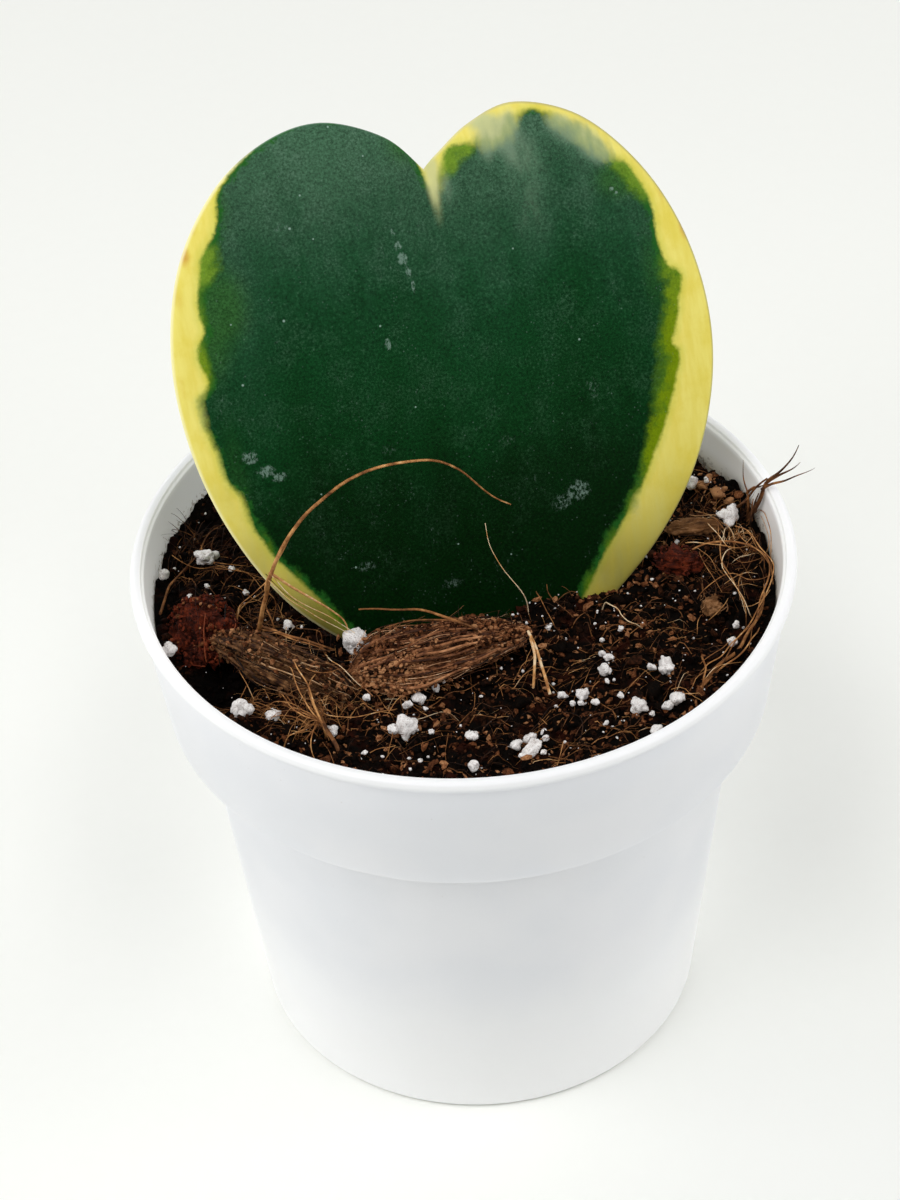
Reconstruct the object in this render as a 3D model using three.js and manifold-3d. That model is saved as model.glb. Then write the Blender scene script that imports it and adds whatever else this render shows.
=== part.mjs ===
// A heart-shaped hoya leaf with a yellow margin, rooted in potting mix in a white plastic pot.
// Millimetres, +Z up. The origin is the centre of the pot's underside, and the front faces -Y.
import * as THREE from 'three';
import { mergeVertices } from 'three/addons/utils/BufferGeometryUtils.js';
import Module from 'manifold-3d';

const wasm = await Module();
wasm.setup();

// Pot: a tapered body below an overhanging collar with a rolled lip
const rimRadius = 55;
const potHeight = 95.1;
const footRadius = 38.65;
const bodyTopRadius = 45.9;
const shoulderHeight = 69.4;
const collarFootRadius = 51.1;
const collarTopRadius = 53.9;
const collarTopHeight = 92.5;
const wall = 1.5;
const floorThickness = 1.5;
const footRecess = 2;
const footRingWidth = 3.3;
const centrePadRadius = 14;
const drainHoleRadius = 3;
const drainHoleCircle = 25;
const drainHoles = 6;
const potSegments = 64;

// Potting mix: fills the pot to a little below the lip
const soilLevel = 87;
const soilRings = 15;
const soilSegments = 48;
const clearance = 0.3;
const crumbs = 66;

// Leaf: a thick blade that stands on its narrow end and leans further back towards the notch
const leafFoot = new THREE.Vector3(3.9, -4.3, soilLevel);
const leafYaw = THREE.MathUtils.degToRad(14);
const leafLeanAtSoil = THREE.MathUtils.degToRad(20);
const leafLeanAtTop = THREE.MathUtils.degToRad(36);
const leafLeanLength = 85;
const leafThickness = 3.4;
const leafMiddle = new THREE.Vector2(-0.6, 38);
const leafNotch = new THREE.Vector2(1, 73);
const petioleThickness = 3.6;

// Surfaces
const finishes = {
  pot: { color: 0xe9edf3, roughness: 0.3 },
  mix: { color: 0x24150f, roughness: 0.95 },
  leaf: { color: 0x0f4527, roughness: 0.55 },
  husk: { color: 0x54301f, roughness: 0.9 },
  bark: { color: 0x4a1c12, roughness: 0.9 },
  chip: { color: 0x7d5636, roughness: 0.9 },
  fibre: { color: 0x8a5230, roughness: 0.8 },
  straw: { color: 0xb98a58, roughness: 0.8 },
  root: { color: 0x7a4a30, roughness: 0.85 },
};

const { degToRad, smoothstep, lerp } = THREE.MathUtils;

// Repeatable random numbers from 0 to 1
function randomFrom(seed) {
  let state = seed;
  return () => {
    state = (state * 1664525 + 1013904223) % 4294967296;
    return state / 4294967296;
  };
}

// A closed geometry as a solid that can be joined and cut
function solidOf(geometry) {
  geometry.deleteAttribute('normal');
  geometry.deleteAttribute('uv');
  const merged = mergeVertices(geometry, 1e-4);
  const corners = [];
  for (let i = 0; i < merged.index.count; i += 3) {
    const [a, b, c] = merged.index.array.slice(i, i + 3);
    if (a !== b && b !== c && c !== a) corners.push(a, b, c);
  }
  const vertProperties = merged.attributes.position.array;
  return new wasm.Manifold(new wasm.Mesh({ numProp: 3, vertProperties, triVerts: new Uint32Array(corners) }));
}

// A solid as a geometry, without any loose scraps that a cut has left beside its main body
function geometryOf(solid) {
  const [body] = solid.decompose().sort((a, b) => b.volume() - a.volume());
  const mesh = body.getMesh();
  const geometry = new THREE.BufferGeometry();
  geometry.setAttribute('position', new THREE.BufferAttribute(mesh.vertProperties, mesh.numProp));
  geometry.setIndex(new THREE.BufferAttribute(mesh.triVerts, 1));
  geometry.computeVertexNormals();
  return geometry;
}

// Moves every vertex of a geometry to where the function puts it
function reshape(geometry, place) {
  const positions = geometry.attributes.position;
  const point = new THREE.Vector3();
  for (let i = 0; i < positions.count; i++) {
    point.fromBufferAttribute(positions, i);
    positions.setXYZ(i, ...place(point).toArray());
  }
  return geometry;
}

// Pot
function collarRadius(height) {
  const share = (height - shoulderHeight) / (collarTopHeight - shoulderHeight);
  return lerp(collarFootRadius, collarTopRadius, share);
}

function bodyRadius(height) {
  return lerp(footRadius, bodyTopRadius, height / shoulderHeight);
}

function turned(profile, segments) {
  const points = profile.map(([radius, height]) => new THREE.Vector2(radius, height));
  return new THREE.LatheGeometry(points, segments).rotateX(Math.PI / 2);
}

const innerFloor = footRecess + floorThickness;
const stepHeight = shoulderHeight + wall;

function potSolid() {
  const footInner = footRadius - footRingWidth;
  const profile = [
    [0, 0],
    [centrePadRadius, 0],
    [centrePadRadius + 1.5, footRecess],
    [footInner - 1.5, footRecess],
    [footInner, 0],
    [footRadius - 0.85, 0],
    [footRadius, 0.9],
    [bodyTopRadius, shoulderHeight],
    [collarFootRadius - 0.4, shoulderHeight],
    [collarFootRadius, shoulderHeight + 0.5],
    [collarTopRadius, collarTopHeight],
    [rimRadius - 0.35, collarTopHeight + 0.7],
    [rimRadius, collarTopHeight + 1.5],
    [rimRadius - 0.25, potHeight - 0.35],
    [rimRadius - 0.8, potHeight],
    [rimRadius - 1.5, potHeight - 0.1],
    [rimRadius - 1.8, potHeight - 0.5],
    [rimRadius - 1.9, potHeight - 1.3],
    [collarTopRadius - wall + 0.1, potHeight - 1.5],
    [collarTopRadius - wall, collarTopHeight],
    [collarRadius(stepHeight) - wall, stepHeight],
    [bodyRadius(shoulderHeight) - wall, shoulderHeight - 0.3],
    [bodyRadius(innerFloor) - wall, innerFloor + 1],
    [bodyRadius(innerFloor) - wall - 1, innerFloor],
    [0, innerFloor],
  ];
  let pot = solidOf(turned(profile, potSegments));
  for (let i = 0; i < drainHoles; i++) {
    const angle = (i / drainHoles) * 2 * Math.PI;
    const hole = new THREE.CylinderGeometry(drainHoleRadius, drainHoleRadius, 2 * innerFloor, 16)
      .rotateX(Math.PI / 2)
      .translate(drainHoleCircle * Math.cos(angle), drainHoleCircle * Math.sin(angle), innerFloor);
    pot = pot.subtract(solidOf(hole));
  }
  return pot;
}

// Leaf: "across" runs along its width, "along" up its bent middle line, "outward" towards the front
function leafPoint(across, along, outward) {
  const bend = (leafLeanAtTop - leafLeanAtSoil) / leafLeanLength;
  const lean = leafLeanAtSoil + bend * along;
  const back = (Math.cos(leafLeanAtSoil) - Math.cos(lean)) / bend - outward * Math.cos(lean);
  const up = (Math.sin(lean) - Math.sin(leafLeanAtSoil)) / bend + outward * Math.sin(lean);
  return new THREE.Vector3(across, back, up).applyAxisAngle(new THREE.Vector3(0, 0, 1), leafYaw).add(leafFoot);
}

// The margin from the notch round the left lobe, the buried tip and the right lobe, back to the notch
const leafMargin = new THREE.SplineCurve(
  [
    leafNotch.toArray(),
    [-4.6, 79.2], [-14.3, 83.3], [-24, 81.8], [-33.4, 75.7], [-41.2, 64.5], [-44.9, 50], [-44.2, 34.5],
    [-39.8, 19.8], [-32, 6.3], [-20, -5], [-8, -13.5],
    [0, -16.5],
    [8, -13.5], [19, -5], [30, 5], [37.9, 16.5], [42.6, 30], [43.7, 43], [41.4, 56], [36, 67.5],
    [27.5, 76.8], [17.5, 80.4], [9.3, 78.6], [3.4, 75],
    leafNotch.toArray(),
  ].map(([across, along]) => new THREE.Vector2(across, along)),
);

// How far the blade's middle layer lies from a plainly bent plate: a fold below the notch and soft waves
function leafRelief(across, along) {
  const fold = Math.exp(-(((across - 1) / 3.5) ** 2)) * smoothstep(along, 30, 74);
  const waves = 0.35 * Math.sin(across / 7 + 1) * Math.sin(along / 13);
  return waves - 0.9 * fold;
}

function leafSolid(grow) {
  const ball = new THREE.SphereGeometry(1, 56, 12);
  const blade = reshape(ball, ({ x, y, z }) => {
    const share = Math.min(1, Math.hypot(x, z));
    const turn = (Math.atan2(z, -x) / (2 * Math.PI) + 1) % 1;
    const edge = leafMargin.getPointAt(turn).sub(leafMiddle);
    const at = edge.setLength(edge.length() + grow).multiplyScalar(share).add(leafMiddle);
    const half = (leafThickness / 2 + grow) * Math.sqrt(1 - share ** 14);
    return leafPoint(at.x, at.y, leafRelief(at.x, at.y) + Math.sign(y) * half);
  });
  const stalk = [-8, -16, -24, -32].map((along) => leafPoint(0, along, 0));
  return solidOf(blade).add(fibreSolid(stalk, petioleThickness, grow, 9));
}

// A round fibre, root or stalk along a smooth curve through its points
function fibreSolid(points, thickness, grow = 0, sides = 5) {
  const radius = thickness / 2 + grow;
  const section = new THREE.Shape();
  for (let i = 0; i < sides; i++) {
    const angle = (i / sides) * 2 * Math.PI;
    const corner = [radius * Math.cos(angle), radius * Math.sin(angle)];
    if (i === 0) section.moveTo(...corner);
    else section.lineTo(...corner);
  }
  const extrudePath = new THREE.CatmullRomCurve3(points);
  const steps = Math.ceil(1.3 * (points.length - 1));
  return solidOf(new THREE.ExtrudeGeometry(section, { steps, bevelEnabled: false, extrudePath }));
}

// A strand with branches, fused where they leave it
function strands(routes, grow) {
  return routes
    .map(([thickness, ...route]) => fibreSolid(route.map((p) => new THREE.Vector3(...p)), thickness, grow))
    .reduce((all, strand) => all.add(strand));
}

// A lump of husk or bark: long axis along X before it is turned, with ridges along its grain
function lumpSolid({ at, size, turn, tilt = 0, ridges, ridgeDepth, seed, faces = [24, 7] }, grow) {
  const random = randomFrom(seed);
  const phases = [random(), random(), random()].map((share) => share * 2 * Math.PI);
  const [length, width, height] = size;
  const ball = new THREE.SphereGeometry(1, ...faces).rotateZ(-Math.PI / 2);
  const lump = reshape(ball, (point) => {
    const round = Math.atan2(point.z, point.y);
    const end = Math.sign(point.x) * Math.abs(point.x) ** 0.75;
    const taper = 1 + 0.16 * Math.sin(3.1 * point.x + phases[0]) + 0.1 * Math.sin(5.3 * point.x + 2 * round + phases[1]);
    const ridge = 1 + ridgeDepth * Math.sin(ridges * round + 2 * point.x + phases[2]);
    return new THREE.Vector3(
      end * (length / 2 + grow),
      point.y * (width / 2 * taper * ridge + grow),
      point.z * (height / 2 * taper * ridge + grow),
    );
  });
  lump.rotateY(-degToRad(tilt)).rotateZ(degToRad(turn)).translate(...at);
  return solidOf(lump);
}

const huskMiddle = {
  at: [-4.2, -17.2, 88.6], size: [29, 13.5, 8.4], turn: 10, tilt: 3, ridges: 7, ridgeDepth: 0.13, seed: 3,
};
const huskLeft = {
  at: [-30.2, -17.2, 87.3], size: [26, 8.6, 7], turn: -31, tilt: -6, ridges: 6, ridgeDepth: 0.14, seed: 11,
};
const barkLeft = {
  at: [-43.3, -7.6, 87], size: [15, 10, 8.6], turn: 96, ridges: 5, ridgeDepth: 0.12, seed: 5,
};
const barkRight = {
  at: [35.8, 2.8, 88], size: [7.4, 5, 3.4], turn: -12, ridges: 3, ridgeDepth: 0.12, faces: [12, 6], seed: 8,
};
const flakeRight = {
  at: [39, 10.8, 88.6], size: [9.4, 3.4, 1.9], turn: -6, tilt: 8, ridges: 3, ridgeDepth: 0.08, faces: [12, 6], seed: 2,
};
const chipRight = {
  at: [40.4, -9.4, 88.4], size: [3.8, 3, 2.2], turn: 20, ridges: 3, ridgeDepth: 0.1, faces: [12, 6], seed: 6,
};

// Fibres and roots: thickness first, then the points of the route from one end to the other
const archFibre = [
  [0.9, [-34.9, -8.6, 82], [-34.3, -9.1, 86.5], [-33.1, -11, 93], [-32, -12, 99.2], [-31.1, -12.5, 102.8],
    [-28.3, -12.5, 109.4], [-23, -12, 116.5], [-15.7, -10, 120.6], [-9.3, -8, 121], [-4.5, -5.5, 119.4],
    [0.2, -3, 114.8], [4.9, -0.6, 107.4], [8.2, 0.7, 104]],
  [0.7, [-31.2, -12.5, 103.2], [-28.1, -12.4, 100.4], [-25, -12.4, 97.6], [-21.6, -12.6, 94.4],
    [-19.4, -12.9, 91.5], [-19.2, -13.2, 85]],
  [0.7, [-32, -12, 98.6], [-31.6, -12.6, 102], [-29.6, -12.7, 106.4], [-27.4, -12.5, 110.6]],
];
const curledFibre = [
  [0.6, [10.8, -6.2, 83], [9.9, -6, 89.2], [6.8, -4.8, 94.5], [4.5, -2.9, 98.4], [3.9, -1.1, 101.8]],
];
const huskFibre = [
  [0.7, [-18.4, -11.6, 88], [-17.2, -11.4, 92], [-15.5, -11.6, 93.2], [-10.7, -12.2, 93.6], [-7.4, -12.4, 93.5],
    [-3.4, -13.5, 93.4], [0.4, -14.8, 92.6], [2.4, -15.6, 90]],
];
const longStraw = [
  [0.8, [9.8, -13.4, 91.6], [10.6, -17, 90.6], [11.8, -23, 89.4], [12.9, -28.6, 87]],
];
const shortStraw = [
  [0.7, [10.8, -19.2, 91], [10.9, -21, 90.4], [10.6, -24, 89.2], [10.1, -27.6, 86.4]],
];
const rootTuft = [
  [0.9, [48.4, 13.4, 83], [48.7, 13.1, 87], [49.5, 12.4, 91.2], [51.2, 12, 96.4], [53.4, 11.5, 98.8],
    [55, 11, 102], [56.3, 10.5, 105.5]],
  [0.7, [51.2, 12, 96.4], [52.8, 11.7, 97.6], [55.2, 10.8, 100], [56.6, 10, 102.3]],
  [0.7, [50.6, 12.1, 95], [52.2, 11.2, 96.9], [54.4, 10.2, 98.4], [56.6, 9.4, 100.2], [58.9, 8.9, 101.8]],
  [0.6, [48.8, 13.4, 86], [48.4, 13, 91], [48.3, 12.5, 94.7], [47.5, 12, 98.4], [47.3, 12, 101.7]],
  [0.6, [48.2, 13, 93.6], [49.2, 12.8, 95], [50.4, 12.2, 95.6], [51.4, 12, 96.6]],
];
const rootMat = [
  [0.8, [37.2, 5.6, 84], [38, 5.1, 88.4], [43, 4.5, 90.4], [47, 3.4, 91], [49.2, 0.9, 91.3], [50.2, -1.7, 91.4],
    [50.3, -5.2, 91.3], [49.3, -8.9, 91], [47.7, -12.9, 90.6], [46, -16, 90.2], [44.1, -18.7, 89.8],
    [41.3, -22.8, 89.2], [37.8, -25.7, 88.4], [36.2, -29, 84]],
  [0.7, [40, 13, 84], [40.6, 12.2, 88.4], [42.6, 9.6, 90.6], [43.2, 4.4, 90.4]],
  [0.7, [43.1, 4.4, 90.4], [42.9, 0.4, 90.2], [43.3, -2.6, 90.4], [44.5, -6, 90.4], [45.6, -11, 89.4], [46, -13, 84]],
  [0.7, [46.4, 9, 84], [46.9, 7.8, 88.4], [48, 5.9, 90.8], [48.8, 1.6, 91.3]],
  [0.7, [38.4, -4.2, 84], [39.4, -4.4, 88.6], [43.8, -4.6, 90.4], [46.4, -6.1, 90.9], [50.3, -5.4, 91.3]],
];
const whiteRoot = [
  [0.6, [23, -6.9, 84], [23.4, -7.5, 88.6], [24.9, -8.6, 89.8], [25.6, -10.4, 90], [27, -12.7, 89.4], [29.4, -14, 85]],
];

// A spray of fibres that leave one place on the mix and end in it again
const spray = { at: [-25.6, -26.8], strands: 5, firstAngle: 60, lastAngle: 190, thickness: 0.7, seed: 21 };

function sprayStrands() {
  const random = randomFrom(spray.seed);
  const [x, y] = spray.at;
  return Array.from({ length: spray.strands }, (_, i) => {
    const angle = degToRad(lerp(spray.firstAngle, spray.lastAngle, i / (spray.strands - 1)));
    const reach = 7 + 5 * random();
    const lift = 3 + 1.5 * random();
    const route = [-0.06, 0.3, 0.7, 1].map((share) => {
      const height = soilLevel + lift * Math.sin(Math.PI * share) + 1.5 - 4.5 * share ** 6;
      return [x + reach * share * Math.cos(angle), y + reach * share * Math.sin(angle), height];
    });
    return [spray.thickness, [x, y, soilLevel - 4], ...route];
  });
}

// Potting mix: an uneven top with a hollow at the left, which rises a little to the wall
function soilHeight(x, y) {
  const swell = 0.7 * Math.sin(0.11 * x + 1.3) * Math.cos(0.13 * y - 0.4);
  const lumps = 0.5 * Math.sin(0.31 * x - 0.17 * y + 2) + 0.35 * Math.sin(0.23 * x + 0.47 * y);
  const clods = 0.45 * Math.cos(0.71 * x + 0.2 * y) * Math.sin(0.53 * y - 0.3 * x);
  const rise = 1.1 * smoothstep(Math.hypot(x, y), 36, 51);
  const hollow = 3.6 * Math.exp(-((x + 37.5) ** 2 + (y + 20.5) ** 2) / 40);
  return soilLevel + swell + lumps + clods + rise - hollow;
}

// White grains in the mix, where they lie and how wide they are
const perliteGrains = [
  [-17.8, -13.8, 4.6], [-43, 8.8, 3.2], [-50, 5, 2], [-48.5, -14, 2.6], [-36.5, -28.3, 3.6], [-31.7, -29, 2.2],
  [-22.3, -33.3, 2.1], [-10.2, -33.2, 3.4], [-12.6, -33.8, 1.8], [-8.3, -25.8, 2.5], [-10.1, -28, 1.8],
  [0, -37, 2.2], [0, -43.5, 2], [9, -37.1, 2.2], [6.8, -38.8, 2], [9.3, -40.5, 2.9], [14.8, -27.1, 1.8],
  [18.1, -27.4, 2.2], [19.9, -30.1, 1.6], [21.8, -22.9, 2.3], [22.6, -20.4, 1.6], [26.5, -31.7, 3],
  [32.8, -30.3, 2.6], [31.4, -31.6, 1.8], [31.9, -23.2, 3], [29.3, -23.7, 1.7], [29.2, -37.4, 2],
  [43, -18.2, 1.9], [43.9, -13.7, 1.7], [45.3, 11.7, 3.6], [39.7, 20.9, 2.4], [-29.2, -8.8, 2], [25.2, -12.8, 1.6],
];

// A grain or crumb that sits in the top of the mix, turned at random
function settled(shape, x, y, sink, random) {
  return shape
    .scale(1, 0.85 + 0.3 * random(), 0.75 + 0.4 * random())
    .rotateX(random())
    .rotateZ(2 * Math.PI * random())
    .translate(x, y, soilHeight(x, y) - sink);
}

function soilSolid() {
  const floor = innerFloor + clearance;
  const topRadius = collarRadius(soilLevel) - wall - 2 * clearance;
  const profile = [
    [0, floor],
    [bodyRadius(floor) - wall - 1 - clearance, floor],
    [bodyRadius(floor) - wall - clearance, floor + 1.2],
    [bodyRadius(shoulderHeight) - wall - clearance, shoulderHeight - 0.3],
    [collarRadius(stepHeight) - wall - 1.5 * clearance, stepHeight + clearance],
    [topRadius, soilLevel],
  ];
  for (let ring = 1; ring <= soilRings; ring++) profile.push([topRadius * (1 - ring / soilRings), soilLevel]);
  const heap = reshape(turned(profile, soilSegments), (point) => {
    if (point.z > soilLevel - 0.01) point.z = soilHeight(point.x, point.y);
    return point;
  });
  const random = randomFrom(77);
  let soil = solidOf(heap);
  for (const [x, y, width] of perliteGrains) {
    const grain = new THREE.IcosahedronGeometry(width / 2, 0);
    soil = soil.add(solidOf(settled(grain, x, y, -0.2 * width, random)));
  }
  for (let i = 0; i < crumbs; i++) {
    const angle = random() * 2 * Math.PI;
    const reach = (topRadius - 3) * Math.sqrt(random());
    const width = 2.4 + 3 * random() ** 2;
    const crumb = new THREE.OctahedronGeometry(width / 2, 0);
    soil = soil.add(solidOf(settled(crumb, reach * Math.cos(angle), reach * Math.sin(angle), 0, random)));
  }
  return soil;
}

// The pieces from the one that keeps its whole shape to the one that makes room for all others
const pieces = [
  { name: 'leaf', finish: finishes.leaf, make: leafSolid },
  { name: 'fibre_arch', finish: finishes.fibre, make: (grow) => strands(archFibre, grow) },
  { name: 'fibre_curled', finish: finishes.fibre, make: (grow) => strands(curledFibre, grow) },
  { name: 'fibre_over_husk', finish: finishes.fibre, make: (grow) => strands(huskFibre, grow) },
  { name: 'straw_long', finish: finishes.straw, make: (grow) => strands(longStraw, grow) },
  { name: 'straw_short', finish: finishes.straw, make: (grow) => strands(shortStraw, grow) },
  { name: 'root_tuft_right', finish: finishes.root, make: (grow) => strands(rootTuft, grow) },
  { name: 'root_mat_right', finish: finishes.root, make: (grow) => strands(rootMat, grow) },
  { name: 'root_white', finish: finishes.straw, make: (grow) => strands(whiteRoot, grow) },
  { name: 'fibre_spray_left', finish: finishes.fibre, make: (grow) => strands(sprayStrands(), grow) },
  { name: 'husk_chunk_middle', finish: finishes.husk, make: (grow) => lumpSolid(huskMiddle, grow) },
  { name: 'husk_chunk_left', finish: finishes.husk, make: (grow) => lumpSolid(huskLeft, grow) },
  { name: 'bark_lump_left', finish: finishes.bark, make: (grow) => lumpSolid(barkLeft, grow) },
  { name: 'bark_chip_right', finish: finishes.bark, make: (grow) => lumpSolid(barkRight, grow) },
  { name: 'bark_flake_right', finish: finishes.chip, make: (grow) => lumpSolid(flakeRight, grow) },
  { name: 'bark_crumb_right', finish: finishes.chip, make: (grow) => lumpSolid(chipRight, grow) },
  { name: 'potting_mix', finish: finishes.mix, make: soilSolid },
];

function meshOf(name, solid, finish) {
  const mesh = new THREE.Mesh(geometryOf(solid), new THREE.MeshStandardMaterial(finish));
  mesh.name = name;
  return mesh;
}

const plant = new THREE.Group();
plant.add(meshOf('pot', potSolid(), finishes.pot));

// Each piece is cut by those before it, grown by the clearance, so that none of them touch
const grown = [];
for (const { name, finish, make } of pieces) {
  const solid = grown.reduce((rest, other) => rest.subtract(other), make(0));
  plant.add(meshOf(name, solid, finish));
  grown.push(make(clearance));
}

export default plant;
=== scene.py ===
import math
import random

import bmesh
import bpy
import numpy as np
from mathutils import Matrix, Vector, noise


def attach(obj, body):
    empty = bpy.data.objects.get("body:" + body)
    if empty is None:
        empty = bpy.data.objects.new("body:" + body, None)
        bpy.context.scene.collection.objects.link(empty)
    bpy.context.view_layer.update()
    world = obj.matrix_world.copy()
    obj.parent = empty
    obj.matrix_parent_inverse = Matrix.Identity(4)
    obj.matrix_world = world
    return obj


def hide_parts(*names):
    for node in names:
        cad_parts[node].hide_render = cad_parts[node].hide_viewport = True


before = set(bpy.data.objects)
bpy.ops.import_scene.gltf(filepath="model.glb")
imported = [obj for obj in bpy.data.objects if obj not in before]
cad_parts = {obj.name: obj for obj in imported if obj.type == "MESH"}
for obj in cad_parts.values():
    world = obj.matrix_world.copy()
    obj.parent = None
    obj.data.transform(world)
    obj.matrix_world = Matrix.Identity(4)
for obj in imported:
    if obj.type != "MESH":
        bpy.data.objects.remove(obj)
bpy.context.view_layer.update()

mm = 0.001  # sizes below are in millimetres, and meshes in metres
weld = 0.00002  # points of a piece that are closer than this are one, in metres
weldStrewn = 1e-8  # strewn pieces may touch without growing together
scene = bpy.context.scene


# Colours are given as they look on a screen, 0 to 255
def tint(red, green, blue):
    linear = [c / 255 / 12.92 if c < 11 else ((c / 255 + 0.055) / 1.055) ** 2.4 for c in (red, green, blue)]
    return (*linear, 1.0)


def tints(finish):
    return {name: tint(*value) for name, value in finish.items()}


# A value on its way through a material: sums and products of Flows add the nodes for them
class Flow:
    def __init__(self, tree, socket=None):
        self.tree = tree
        self.socket = socket

    def make(self, kind, settings=None, inputs=None, output=0):
        node = self.tree.nodes.new(kind)
        for name, value in (settings or {}).items():
            if name == "stops":
                setStops(node.color_ramp, value)
            else:
                setattr(node, name, value)
        for name, value in (inputs or {}).items():
            if isinstance(value, Flow):
                self.tree.links.new(value.socket, node.inputs[name])
            else:
                node.inputs[name].default_value = value
        return Flow(self.tree, node.outputs[output])

    def math(self, operation, first, second):
        return self.make("ShaderNodeMath", {"operation": operation}, {0: first, 1: second})

    def __add__(self, other):
        return self.math("ADD", self, other)

    def __sub__(self, other):
        return self.math("SUBTRACT", self, other)

    def __rsub__(self, other):
        return self.math("SUBTRACT", other, self)

    def __mul__(self, other):
        return self.math("MULTIPLY", self, other)

    def __truediv__(self, other):
        return self.math("DIVIDE", self, other)

    __radd__ = __add__
    __rmul__ = __mul__


def setStops(ramp, stops):
    while len(ramp.elements) < len(stops):
        ramp.elements.new(1.0)
    for element, (position, colour) in zip(ramp.elements, stops):
        element.position = position
        element.color = colour


def noiseOn(place, size, detail=3.0, roughness=0.55):  # size of its blotches in mm
    inputs = {"Vector": place, "Scale": 1 / size, "Detail": detail, "Roughness": roughness}
    return place.make("ShaderNodeTexNoise", None, inputs)


def stretched(place, x, y, z):  # squeezes a pattern's coordinates along each axis
    return place.make("ShaderNodeMapping", None, {"Vector": place, "Scale": (x, y, z)})


def rise(value, low, high):  # 0 below low, 1 above high, smooth between
    inputs = {"Value": value, "From Min": low, "From Max": high}
    return value.make("ShaderNodeMapRange", {"interpolation_type": "SMOOTHSTEP"}, inputs)


def blend(first, second, share):  # from the first colour to the second
    return share.make("ShaderNodeMix", {"data_type": "RGBA"}, {0: share, 6: first, 7: second}, 2)


def scaled(colour, factor):
    return colour.make("ShaderNodeVectorMath", {"operation": "SCALE"}, {0: colour, 3: factor})


def onVectors(operation, *vectors, output=0):
    inputs = dict(enumerate(vectors))
    return vectors[0].make("ShaderNodeVectorMath", {"operation": operation}, inputs, output)


def alongAxis(place, axis):  # 0, 1 or 2 for x, y or z
    return place.make("ShaderNodeSeparateXYZ", None, {0: place}, axis)


def cellsOn(place, scale):  # how far the middle of the nearest scattered cell is
    return place.make("ShaderNodeTexVoronoi", {"feature": "F1"}, {"Vector": place, "Scale": scale})


def ramped(value, stops):  # a colour for each stop from 0 to 1
    stops = [(stop, tint(*colour)) for stop, colour in stops]
    return value.make("ShaderNodeValToRGB", {"stops": stops}, {"Fac": value})


def attribute(flow, name, output=2):  # 2 is the number, 1 the vector
    return flow.make("ShaderNodeAttribute", {"attribute_name": name}, None, output)


# A material with fixed values on its shader, and where each spot of a surface lies in it, in mm
def newMaterial(name, **fixed):
    material = bpy.data.materials.new(name)
    material.use_nodes = True
    shader = material.node_tree.nodes["Principled BSDF"]
    for socket, value in fixed.items():
        shader.inputs[socket.replace("_", " ")].default_value = value
    place = Flow(material.node_tree).make("ShaderNodeTexCoord", None, None, 3)
    return material, shader, scaled(place, 1 / mm)


# Links what varies over a surface to its shader, with the depth of the relief in mm
def dress(shader, place, colour, roughness, relief=None, depth=0.1, strength=1.0, glow=None):
    sockets = {"Base Color": colour, "Roughness": roughness}
    if relief:
        inputs = {"Strength": strength, "Distance": depth * mm, "Height": relief}
        sockets["Normal"] = place.make("ShaderNodeBump", None, inputs)
    if glow:
        sockets["Emission Color"] = glow
    for name, flow in sockets.items():
        place.tree.links.new(flow.socket, shader.inputs[name])


def meshFrom(bm, name):
    mesh = bpy.data.meshes.new(name)
    bm.to_mesh(mesh)
    bm.free()
    return mesh


def newObject(name, data):
    made = bpy.data.objects.new(name, data)
    scene.collection.objects.link(made)
    return made


# A finished piece: merged, facing out, in place in the frame, riding on the part's one body
def addPiece(bm, name, material, slotName, nodes=(), smooth=True, merge=weld):
    bmesh.ops.remove_doubles(bm, verts=bm.verts, dist=merge)
    bmesh.ops.recalc_face_normals(bm, faces=bm.faces)
    return addObject(meshFrom(bm, name), name, material, slotName, nodes, smooth)


def addObject(mesh, name, material, slotName, nodes=(), smooth=True):
    if smooth:
        mesh.shade_smooth()
    mesh.materials.clear()
    mesh.materials.append(material)
    piece = newObject(name, mesh)
    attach(piece, "root")
    if nodes:
        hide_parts(*nodes)
    return piece


def smoothStep(value, low, high):
    share = np.clip((value - low) / (high - low), 0, 1)
    return share * share * (3 - 2 * share)


# A smooth curve through points, as many evenly spaced points along it
def curveThrough(points, count):
    points = np.array(points, float)
    stepsBetween = 24
    before = np.vstack([points[:1], points[:-2]])
    after = np.vstack([points[2:], points[-1:]])
    start, end = points[:-1], points[1:]
    share = np.linspace(0, 1, stepsBetween, endpoint=False)[:, None, None]
    pull, push = (end - before) / 2, (after - start) / 2
    fine = (2 * start - 2 * end + pull + push) * share**3
    fine = fine + (3 * end - 3 * start - 2 * pull - push) * share**2 + pull * share + start
    fine = np.vstack([fine.transpose(1, 0, 2).reshape(-1, points.shape[1]), points[-1:]])
    travelled = np.concatenate([[0], np.cumsum(np.linalg.norm(np.diff(fine, axis=0), axis=1))])
    stops = np.linspace(0, travelled[-1], count)
    return np.stack([np.interp(stops, travelled, column) for column in fine.T], 1)


# Camera: a long lens, high above the pot and turned a little
cameraView = {
    "lens": 103.86,
    "sensor": 36,
    "distance": 0.5773,
    "elevation": 41.53,
    "roll": -2.82,
    "target": (-0.00245, 0, 0.08448),
}


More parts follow.
